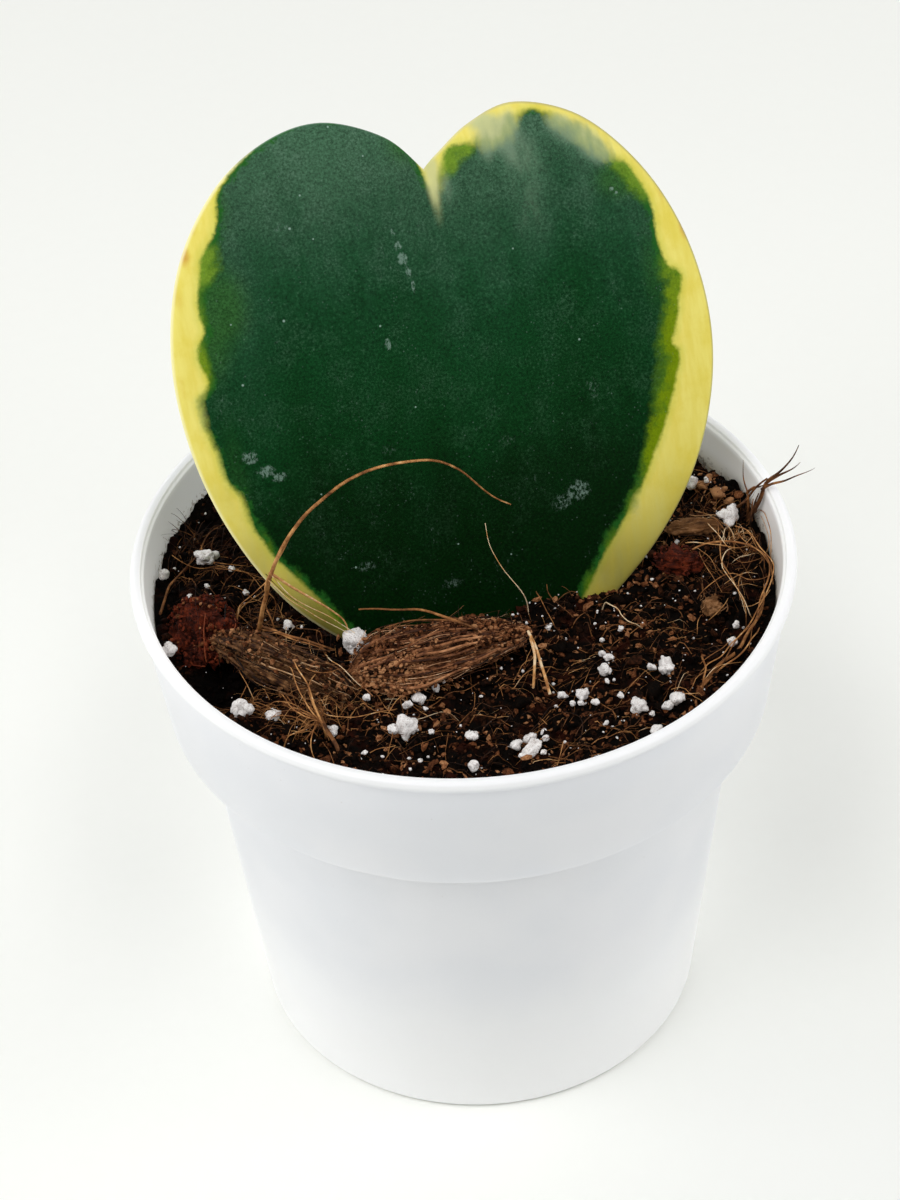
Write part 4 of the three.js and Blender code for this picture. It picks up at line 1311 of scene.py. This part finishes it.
# The rest as they lie in the frame, lifted on to the bed where it stands higher
tracedFibres = [
    # from the arch's foot to the white grain, and the tangle round the foot
    ([(-30.9, -12.8, 103), (-28, -13.2, 98.8), (-24.8, -13.4, 96), (-21.6, -13.6, 93.6),
      (-17.8, -14, 90.4)], 0.2, 0.14, 0.98),
    ([(-31.4, -12.8, 102), (-27.8, -13.4, 97.6), (-24.8, -13.6, 94.8), (-21, -13.8, 92),
      (-17.9, -14, 89.6)], 0.18, 0.14, 0.9),
    ([(-31.8, -12.4, 103), (-29.4, -13, 99.6), (-27, -13.4, 97.4)], 0.16, 0.1, 0.25),
    ([(-32, -10.7, 99.8), (-34.5, -10.5, 97), (-36.8, -8.6, 92.6), (-38.4, -6.6, 87.2)], 0.2, 0.12, 0.72),
    ([(-32, -11, 98), (-30.9, -8.2, 92.6), (-31.8, -7.2, 87.6)], 0.22, 0.12, 0.62),
    ([(-32.5, -7.6, 91), (-31.8, -9.3, 89.2), (-31.1, -10.1, 87)], 0.3, 0.2, 0.5),
    ([(-39.8, -4.2, 88), (-37.1, -6.5, 89), (-35.1, -7.4, 87)], 0.2, 0.14, 0.6),
    ([(-42.4, 8.2, 88.4), (-39.3, 7, 89), (-36, 7.1, 88)], 0.2, 0.12, 0.6),
    ([(-41.8, 6.6, 88.4), (-38.5, 4.9, 89.2), (-34.3, 4.7, 88)], 0.22, 0.12, 0.5),
    ([(-34.2, -7.6, 88), (-31.7, -11.3, 89.8), (-28.8, -13.4, 90.2), (-26.2, -14.5, 90.2),
      (-23.6, -15.3, 89.6), (-21.7, -14.3, 87.5)], 0.6, 0.4, 0.5),
    ([(-33.5, -9.5, 88.4), (-31.1, -12, 89.8), (-27.8, -14.4, 90.2), (-24.9, -15.4, 89.8),
      (-22.4, -15.3, 88)], 0.4, 0.26, 0.6),
    ([(-27.9, -9, 88), (-25.6, -10.3, 89), (-23.9, -10.9, 88.8), (-23.7, -11.6, 87.4)], 0.2, 0.12, 0.5),
    ([(-29.6, -16.5, 89.8), (-27.8, -15.3, 90.6), (-26.7, -11.4, 89)], 0.18, 0.12, 0.6),
    ([(-37.2, -18.1, 87.6), (-36, -21.9, 88), (-34.8, -24.3, 86.8)], 0.16, 0.1, 0.8),
    ([(-36, -22, 87.6), (-37, -23.9, 86.6)], 0.14, 0.1, 0.7),
    ([(-23.1, -16.8, 89), (-21.3, -21.3, 91), (-19.7, -24, 91.4), (-17.4, -25.3, 89.4)],
     0.22, 0.14, 0.92),
    # the tangle of roots on the right
    ([(37.5, 7.5, 88), (39.7, 5.2, 89.8), (42.9, 3.8, 90.6), (45.5, 3, 90.2), (47.7, 5.2, 88.6)],
     0.23, 0.16, 0.78),
    ([(40.9, 13.3, 88.6), (42, 8.5, 90.4), (43, 5.6, 90.8), (44, 3.2, 90.6), (45.5, 3.2, 89)],
     0.19, 0.13, 0.91),
    ([(39.7, 15.2, 88.4), (41.1, 12.4, 90), (42.8, 10.5, 90.4), (44.2, 8.7, 89.2)], 0.17, 0.11, 0.76),
    ([(45.2, 3.8, 89.6), (43.9, 1.9, 90.8), (43, -0.7, 91.2), (42.7, -3.2, 91.4), (43.4, -5.1, 91.2),
      (44.3, -7.1, 91), (45.3, -9.7, 90.6), (45.9, -11.8, 90.2), (46.7, -12.1, 88)], 0.17, 0.14, 0.96),
    ([(44, -4.5, 90.2), (44.6, -8.2, 90.8), (45.2, -10, 90.2), (45.8, -11.5, 88.4)], 0.11, 0.08, 0.96),
    ([(46, 9.6, 89.4), (47.1, 6.6, 91.4), (48.1, 4.3, 91.8), (49, 1.7, 91.8), (50.1, -0.7, 91.8),
      (50.9, -3.1, 91.8), (50.9, -4.8, 91.6), (50.2, -7.5, 91.4), (48.9, -10.4, 91.2), (47.3, -13.3, 91),
      (45.9, -16.2, 90.6), (44.3, -18.3, 90.2), (42.5, -20.3, 90), (40.6, -22.8, 89.6),
      (38.4, -24.1, 89.4), (37.3, -23.9, 87.5)], 0.23, 0.21, 0.72),
    ([(46.2, 8.5, 89), (47.5, 3.4, 90.8), (48.9, 0.8, 91.2), (50, -1.3, 91.2), (50.9, -2.7, 90),
      (51, -4, 88)], 0.2, 0.13, 0.66),
    ([(50.4, 13.9, 89), (50.9, 10.4, 91.4), (51.2, 7, 92), (51.2, 3.4, 92), (51.1, 1.1, 91.4),
      (51, -0.3, 90), (51, -1.7, 88)], 0.19, 0.13, 0.68),
    ([(50.6, 12.8, 89), (50.9, 7.2, 91.2), (51, 3.7, 91), (50.6, 3, 89)], 0.12, 0.096, 0.78),
    ([(50.2, -6.5, 89), (48.5, -10.5, 90.6), (46.8, -10.7, 89.6), (45.4, -9, 88)], 0.16, 0.11, 0.78),
    ([(48.5, -10.6, 89.6), (46.5, -15.8, 89.8), (45.9, -18.5, 89.2), (45.3, -20, 87.4)],
     0.14, 0.096, 0.61),
    ([(37.8, -20.2, 87.6), (37.9, -24.6, 89.2), (37.3, -27.4, 89.2), (37.3, -28.1, 87)],
     0.34, 0.24, 0.56),
    ([(37.6, -26.3, 88), (39.2, -25.8, 89.6), (41.3, -24.6, 89.4), (44.1, -22.1, 87.6)],
     0.16, 0.11, 0.78),
    ([(39.5, 4.6, 88.4), (39.9, -0.2, 89.6), (41, -3.1, 89.4), (42.4, -5.3, 88)], 0.16, 0.096, 0.61),
    ([(39.2, 5.6, 88.4), (40.9, 1.5, 89.8), (41.9, -0.2, 88.4)], 0.14, 0.096, 0.81),
    ([(42.9, -4, 88.6), (44.8, -3.8, 90), (46.9, -2.7, 89.8), (48.7, -1.7, 88.4)], 0.12, 0.08, 0.81),
    ([(44.6, -4.7, 88.6), (46.7, -5.5, 89.8), (48.3, -5.4, 89)], 0.11, 0.08, 0.76),
    ([(39.7, -11.6, 87.6), (41, -12, 89.2), (42.3, -10.2, 89.2), (43.3, -6.9, 88)], 0.16, 0.096, 0.81),
    ([(37.5, -14.9, 87.6), (37.7, -13.5, 89.2), (38.8, -10.5, 88)], 0.12, 0.096, 0.66),
    ([(45.2, -7.5, 88), (45, -5.9, 89.4), (45.9, -3.4, 89.8), (47.8, -0.6, 88.4)], 0.14, 0.096, 0.56),
    ([(44.5, 2.5, 89), (46.1, -0.6, 90.4), (48.5, -0.5, 90.6), (50.4, 1.3, 89.6)], 0.14, 0.096, 0.51),
    ([(49.2, -6.1, 90), (49.1, -9.1, 90.2), (48.8, -10.4, 89.2), (48.1, -11.7, 88)], 0.16, 0.096, 0.66),
    ([(37.3, -22.5, 88), (39.3, -22, 89.6), (41.3, -20.5, 89.6), (43.6, -16.9, 88.6)], 0.19, 0.11, 0.56),
    # rootlets round the foot of the tuft
    ([(46, 15.5, 88), (47.6, 13.6, 91), (49.4, 12.4, 95), (51.4, 11.8, 97.6)], 0.6, 0.3, 0.3),
    ([(50, 14.4, 88), (49.6, 12.6, 91.6), (50, 11.6, 94.6)], 0.5, 0.2, 0.22),
    ([(45.4, 13.4, 89), (46.6, 12.8, 91), (48.4, 12.4, 93)], 0.4, 0.2, 0.25),
    ([(44.6, 12.6, 88.6), (46, 12.4, 90.6), (48.2, 13, 91.6), (49.6, 13.4, 90)], 0.34, 0.2, 0.3),
    ([(48.6, 10.6, 88.6), (48.8, 11.4, 91), (49.2, 12.2, 93)], 0.4, 0.2, 0.2),
    # hairs at the leaf's foot
    ([(11.8, -4.8, 89.6), (12.5, -7.8, 90.6), (13.3, -10.1, 90), (14.5, -12.1, 88)], 0.18, 0.12, 0.55),
    ([(13.6, -3.6, 90), (14.2, -6.4, 90), (17.6, -9.8, 88)], 0.16, 0.1, 0.4),
]
# Hairs that stand up from the bed: centre, spread, count, direction, length, tone
hairPatches = [
    ((-45.5, 12), 5, 30, 0, (2, 6.5), 0.12),
    ((-46.6, 14.5), 3.4, 34, 200, (3, 7.5), 0.08),
    ((-46, 2), 4, 12, 20, (1.5, 4), 0.2),
    ((43.5, 17), 6, 30, 180, (1.5, 5), 0.3),
    ((14, -4), 5, 18, None, (1.5, 4.5), 0.2),
    ((-4, -9), 9, 30, 80, (2, 5), 0.3),
    ((48.3, 12.8), 2.2, 30, 20, (1.5, 6), 0.22),
    ((-23, -25), 5, 90, None, (1.5, 4), 0.35),
    ((45, -2), 6, 36, None, (1.5, 4.5), 0.15),
    ((0, 0), 46, 160, None, (1, 3.2), 0.35),
]
hairSet = {"lean": (0.2, 1.1), "thickness": (0.07, 0.23), "seed": 33}


def hairPoints(x, y, angle, length, lean):  # up from the bed, leaning over more towards its tip
    foot = Vector((x, y, bedHeight(x, y) - 0.3))
    points = []
    for share in (0, 0.35, 0.7, 1):
        tilt = lean * (0.5 + share)
        level = math.sin(tilt)
        step = Vector((math.cos(angle) * level, math.sin(angle) * level, math.cos(tilt)))
        points.append(tuple(foot + length * share * step))
    return points


def makeFineFibres():
    dice = random.Random(hairSet["seed"])
    strands = []
    for route, root, tip, tone in fineFibres:
        points = [(x, y, bedHeight(x, y) + lift + 0.4) for x, y, lift in route]
        strands.append((wandering(points, dice, 0.7, 0.7), root, tip, tone))
    for route, root, tip, tone in tracedFibres:
        points = [(x, y, max(z, bedHeight(x, y) + 0.25)) for x, y, z in route[1:-1]]
        strands.append((wandering([route[0], *points, route[-1]], dice, 0.35, 0.7), root, tip, tone))
    for x, y, heading, (short, long), tone in strewnRoots(dice, hairPatches):
        if math.hypot(x, y) > fibreReach:
            continue
        angle = headingFrom(dice, heading, 50)
        points = hairPoints(x, y, angle, dice.uniform(short, long), dice.uniform(*hairSet["lean"]))
        thick = skewed(dice, *hairSet["thickness"], 2)
        line = wandering(points, dice, 0.5, 0.7)
        strands.append((line, thick, thick * 0.4, tone + dice.gauss(0, 0.15)))
    strandPiece("fineFibres", strands, fibreStuff, "fibre", sides=4)


makeFineFibres()
print("fine fibres placed")


# Husk and bark: lumps with ridges along their grain
def lumpPlace(lump, alongShare, turnRound, lift=0.0):  # a point on a lump, lift mm above its skin
    phases = lump["phases"]
    length, width, height = lump["size"]
    girth = math.sqrt(max(0, 1 - abs(alongShare) ** lump["blunt"]))
    x, y, z = alongShare, girth * math.cos(turnRound), girth * math.sin(turnRound)
    end = math.copysign(abs(x) ** 0.75, x)
    taper = 1 + 0.16 * math.sin(3.1 * x + phases[0]) + 0.1 * math.sin(5.3 * x + 2 * turnRound + phases[1])
    taper *= lump["firstGirth"] + (lump["lastGirth"] - lump["firstGirth"]) * float(smoothStep(x, -1, 1))
    ridge = 1 + lump["ridgeDepth"] * math.sin(lump["ridges"] * turnRound + 2 * x + phases[2])
    wide, high = width / 2 * taper * ridge, height / 2 * taper * ridge
    point = Vector((end * (length / 2 + lift), y * (wide + lift), z * (high + lift)))
    turn = Matrix.Rotation(math.radians(lump["turn"]), 3, "Z")
    turn = turn @ Matrix.Rotation(-math.radians(lump["tilt"]), 3, "Y")
    return Vector(lump["at"]) + turn @ point


def phasesFrom(seed):  # the same draw as in the frame's own lumps
    factor, offset, wordSize = 1664525, 1013904223, 4294967296
    state, phases = seed, []
    for i in range(3):
        state = (state * factor + offset) % wordSize
        phases.append(state / wordSize * math.tau)
    return phases


huskTones = [
    (0.0, (26, 13, 7)), (0.3, (82, 46, 26)), (0.55, (142, 92, 58)), (0.8, (194, 138, 96)),
    (1.0, (226, 188, 150)),
]
darkHuskTones = [
    (0.0, (16, 8, 4)), (0.3, (54, 30, 16)), (0.55, (100, 66, 38)), (0.8, (152, 110, 72)),
    (1.0, (204, 168, 130)),
]
barkTones = [(0.0, (10, 2, 1)), (0.35, (58, 18, 7)), (0.65, (104, 38, 15)), (1.0, (140, 72, 40))]
chipTones = [(0.0, (50, 30, 16)), (0.5, (116, 78, 46)), (1.0, (176, 132, 92))]
# Both girths are shares of the width at the lump's two ends; "bright" has a count and two spans of places
plainLump = {
    "tilt": 0, "firstGirth": 1, "lastGirth": 1, "blunt": 2, "segments": 64, "rough": 0.6,
    "cords": 0, "strands": 0, "crumbs": 0, "soil": 0, "bright": None,
}
lumps = [
    {"name": "huskMiddle", "node": "husk_chunk_middle", "slot": "coir_husk", "tones": huskTones,
     "at": (-4.4, -17.4, 88.5), "size": (29, 12.0, 8.6), "turn": 12, "tilt": 3,
     "firstGirth": 1.05, "lastGirth": 0.5, "blunt": 2.6,
     "ridges": 7, "ridgeDepth": 0.13, "seed": 3, "segments": 128, "rough": 1.8,
     "cords": 26, "strands": 190, "crumbs": 900, "soil": 900, "bright": (420, (-0.98, -0.15), (2.0, 3.3))},
    {"name": "huskLeft", "node": "husk_chunk_left", "slot": "coir_husk", "tones": darkHuskTones,
     "at": (-30.2, -18.2, 87.4), "size": (25, 5.6, 5.4), "turn": -31, "tilt": -6,
     "firstGirth": 1, "lastGirth": 1.1, "blunt": 3.2,
     "ridges": 6, "ridgeDepth": 0.14, "seed": 11, "segments": 128, "rough": 1.2,
     "cords": 16, "strands": 170, "crumbs": 420, "soil": 330, "bright": (80, (-1, -0.86), (0.3, 3.0))},
    {"name": "barkLeft", "node": "bark_lump_left", "slot": "bark", "tones": barkTones,
     "at": (-43.3, -8.0, 86.7), "size": (14.5, 9.4, 8.2), "turn": 96,
     "ridges": 5, "ridgeDepth": 0.12, "seed": 5, "segments": 96, "rough": 1.8,
     "strands": 12, "crumbs": 900, "soil": 60},
    {"name": "barkRight", "node": "bark_chip_right", "slot": "bark", "tones": barkTones,
     "at": (35.8, 2.8, 88), "size": (7.4, 5, 3.4), "turn": -12,
     "ridges": 3, "ridgeDepth": 0.12, "seed": 8, "rough": 1.2, "crumbs": 90},
    {"name": "flakeRight", "node": "bark_flake_right", "slot": "light_bark", "tones": chipTones,
     "at": (39, 10.8, 88.6), "size": (9.4, 3.4, 1.9), "turn": -6, "tilt": 8, "blunt": 3,
     "ridges": 3, "ridgeDepth": 0.08, "seed": 2, "strands": 8, "crumbs": 14},
    {"name": "crumbRight", "node": "bark_crumb_right", "slot": "light_bark", "tones": chipTones,
     "at": (40.4, -9.4, 88.4), "size": (3.8, 3, 2.2), "turn": 20, "blunt": 3,
     "ridges": 3, "ridgeDepth": 0.1, "seed": 6, "strands": 8, "crumbs": 14},
]


def lumpMaterial(lump):
    material, shader, place = newMaterial(lump["name"] + "Skin", Specular_IOR_Level=0.15)
    inputs = {"Vector": place, "Rotation": (0, 0, -math.radians(lump["turn"]))}
    turned = place.make("ShaderNodeMapping", {"vector_type": "POINT"}, inputs)
    strips = noiseOn(stretched(turned, 0.16, 1, 1), 0.55, 4.0, 0.65)
    blotch = noiseOn(place, 2.4, 4.0, 0.6)
    colour = ramped(0.46 + 1.3 * (strips - 0.5) + 1.5 * (blotch - 0.5), lump["tones"])
    fine = noiseOn(place, 0.3, 3.0, 0.7)
    dress(shader, place, colour, 0.75 + 0.15 * fine, strips + 0.5 * fine, depth=0.35, strength=0.9)
    return material


def makeLump(lump):
    lump["phases"] = phasesFrom(lump["seed"])
    dice = random.Random(lump["seed"])
    bm = bmesh.new()
    segments = lump["segments"]
    bmesh.ops.create_uvsphere(bm, u_segments=segments, v_segments=segments * 3 // 4, radius=1)
    for vert in bm.verts:  # the ball's poles lie along the grain
        along, turnRound = vert.co.z, math.atan2(vert.co.x, -vert.co.y)
        around = Vector((0, math.cos(turnRound), math.sin(turnRound)))
        grain = noise.turbulence(Vector((along * 2.5, 0, 0)) + around * 5, 4, False)
        bulge = noise.noise(Vector((along * 2.4, 0, lump["seed"])) + around * 1.3)
        spot = lumpPlace(lump, along, turnRound)
        chewed = noise.noise(spot * 0.55) + 0.6 * noise.noise(spot * 1.3) + 0.4 * noise.noise(spot * 2.6)
        lift = lump["rough"] * (0.7 * grain - 0.4 + 0.9 * bulge + 0.45 * chewed)
        vert.co = lumpPlace(lump, along, turnRound, lift) * mm
    addPiece(bm, lump["name"], lumpMaterial(lump), lump["slot"], [lump["node"]])
    addLumpStrands(lump, dice)
    addLumpCrumbs(lump, dice)
    addLumpSoil(lump, dice)


# A run of points along a lump, with each point's lift worked out from its share of the way
def runAlong(lump, start, run, turnRound, twist, steps, last, liftAt):
    points = []
    for step in range(steps + 1):
        share = step / steps
        along = min(last, start + run * share)
        points.append(lumpPlace(lump, along, turnRound + twist * share, liftAt(share)))
    return points


def addLumpStrands(lump, dice):
    strands = []
    for i in range(lump["strands"]):  # long fibres that cling to the lump, with loose ends
        start, turnRound = skewed(dice, -1, 0.6, 1.3), dice.uniform(-0.3, math.pi + 0.3)
        run, twist = dice.uniform(0.2, 1.0), dice.gauss(0, 0.12)
        base, loose = dice.uniform(-0.2, 0.8), skewed(dice, 0, 3, 5)
        points = runAlong(lump, start, run, turnRound, twist, 7, 1, lambda share: base + loose * share**3)
        thick = skewed(dice, 0.08, 0.38, 2.5)
        strands.append((wandering(points, dice, 0.5), thick, thick * 0.5, skewed(dice, 0, 1, 1.5)))
    for i in range(lump["cords"]):  # bundles as thick as string, half sunk in it
        start, turnRound, run = dice.uniform(-0.95, 0.2), dice.uniform(1.0, 3.0), dice.uniform(0.35, 0.8)
        points = runAlong(lump, start, run, turnRound, dice.gauss(0, 0.1), 6, 0.97, lambda share: 0.5)
        thick = dice.uniform(0.4, 0.8)
        strands.append((wandering(points, dice, 0.7), thick, thick * 0.6, dice.uniform(0.2, 0.6)))
    if strands:
        material = fibreMaterial(lump["name"] + "Fibre", lump["tones"])
        strandPiece(lump["name"] + "Strands", strands, material, lump["slot"], sides=4)


def addLumpCrumbs(lump, dice):  # crumbs of itself that stick to it and lie round it
    crumbs = []
    for i in range(lump["crumbs"]):
        along, turnRound = dice.uniform(-1, 1), dice.uniform(-0.2, math.pi + 0.2)
        width = skewed(dice, 0.22, 0.82, 2)
        spot = lumpPlace(lump, along, turnRound, dice.uniform(-0.2, 0.9))
        crumbs.append((spot, (width * 1.4, width, width * 0.7), 1, 0.7, dice.random()))
    addPile(lump["name"] + "Crumbs", crumbs, dice, lumpMaterial(lump), lump["slot"], smooth=False)


def addLumpSoil(lump, dice):
    soil = []
    count, alongSpan, turnSpan = lump["bright"] or (0, None, None)
    for i in range(count):  # brighter crumbs on one end
        width = skewed(dice, 0.22, 0.82, 2)
        spot = lumpPlace(lump, dice.uniform(*alongSpan), dice.uniform(*turnSpan), dice.uniform(-0.2, 0.8))
        soil.append((spot, (width * 1.4, width, width * 0.8), 1, 0.8, dice.uniform(0.75, 1.25)))
    for i in range(lump["soil"]):  # bits of the mix strewn over it
        along, turnRound = dice.uniform(-0.8, 1), dice.gauss(1.5, 0.6)
        width = skewed(dice, 0.22, 0.92, 2)
        spot = lumpPlace(lump, along, turnRound, dice.uniform(0, 0.9))
        soil.append((spot, (width * 1.4, width, width * 0.8), 1, 0.8, dice.uniform(0.35, 1)))
    if soil:
        addPile(lump["name"] + "Soil", soil, dice, crumbSoil, "potting_mix", smooth=False)


for lump in lumps:
    makeLump({**plainLump, **lump})
print("husk and bark laid")

# The spray of fibres at the front left: strands that cross over the husk's end and go down into the mix
sprayStrands = [  # points in the frame, thickness at root and tip, tone
    ([(-23.3, -33.4, 86), (-23.7, -33.7, 88.8), (-24.8, -31.1, 91), (-25.7, -28.2, 91.8),
      (-27, -24.5, 92.4), (-28, -21.4, 92)], 0.38, 0.18, 0.74),
    ([(-23.5, -32.5, 86.5), (-23.7, -33, 88.8), (-25.2, -32.1, 90.6), (-26.7, -29.3, 91.6),
      (-27.8, -26.1, 92), (-28.8, -21.6, 91)], 0.3, 0.15, 0.62),
    ([(-23.9, -32, 86.5), (-24.2, -31.8, 89), (-24.9, -30.7, 90.6), (-25.5, -28.7, 91.4),
      (-25.3, -26.1, 91.4), (-24, -21.6, 90)], 0.26, 0.14, 0.68),
    ([(-23.2, -32.1, 87), (-24.3, -32.7, 89), (-26.6, -32.5, 90.2), (-28.7, -29.5, 90.2),
      (-30.6, -25, 88.6)], 0.27, 0.14, 0.58),
    ([(-23.5, -31.8, 87.6), (-24.9, -32.4, 89.6), (-27.1, -31.3, 90), (-30.1, -26.8, 88)],
     0.22, 0.12, 0.52),
    ([(-23.4, -28.5, 88.4), (-24.2, -31.8, 89.4), (-25.3, -34, 89.4), (-27.2, -34.6, 88.8),
      (-29.5, -33.4, 87)], 0.26, 0.15, 0.52),
    ([(-23.8, -29, 87.6), (-24.5, -32.7, 89), (-25.3, -35.6, 89.2), (-25.5, -37.5, 88.6),
      (-25.1, -38.8, 87)], 0.26, 0.15, 0.62),
    ([(-23.1, -30.4, 88), (-24.3, -32.9, 89.2), (-25.6, -34.7, 88.8), (-26.8, -35.2, 87)],
     0.3, 0.18, 0.57),
    ([(-24.4, -30, 88.6), (-23.4, -33.5, 89.2), (-22.3, -36.1, 89), (-21.4, -38, 88.4),
      (-21, -38.5, 86.6)], 0.9, 0.6, 0.46),
    ([(-24.7, -29, 88.6), (-22.4, -31.9, 89.4), (-19.2, -32.8, 89.8), (-16, -31.9, 89.6),
      (-11.8, -29.1, 87.6)], 0.17, 0.12, 0.72),
    ([(-26.1, -22.8, 91.6), (-24.1, -24.3, 92), (-21.9, -23.8, 91.4), (-20.4, -21.4, 89.6)],
     0.18, 0.11, 0.57),
]
spraySet = {
    "at": (-24.4, -32),
    "spread": 1.6,
    "reach": (3, 9),
    "angles": (50, 230),
    "lift": (0.8, 3),
    "thickness": (0.1, 0.26),
    "tones": (0.2, 0.7),
    "seed": 21,
    "count": 24,
}


def makeSpray():
    dice = random.Random(spraySet["seed"])
    strands = []
    for points, root, tip, tone in sprayStrands:
        strands.append((wandering(points, dice, 0.5, 0.7), root, tip, tone))
    for i in range(spraySet["count"]):
        x, y = spraySet["at"]
        x, y = x + dice.gauss(0, spraySet["spread"]), y + dice.gauss(0, spraySet["spread"])
        angle = math.radians(dice.uniform(*spraySet["angles"]))
        reach, lift = dice.uniform(*spraySet["reach"]), dice.uniform(*spraySet["lift"])
        points = []
        for share in (0, 0.3, 0.7, 1):
            height = mixShape["level"] + 1 + lift * math.sin(math.pi * share) - 2 * share**6
            out = reach * share
            points.append((x + out * math.cos(angle), y + out * math.sin(angle), height))
        thick = dice.uniform(*spraySet["thickness"])
        line = wandering(points, dice, 0.9, 0.8)
        strands.append((line, thick, thick * 0.5, dice.uniform(*spraySet["tones"])))
    strandPiece("fibreSpray", strands, fibreStuff, "fibre", ["fibre_spray_left"], sides=6)


makeSpray()
print("spray placed")
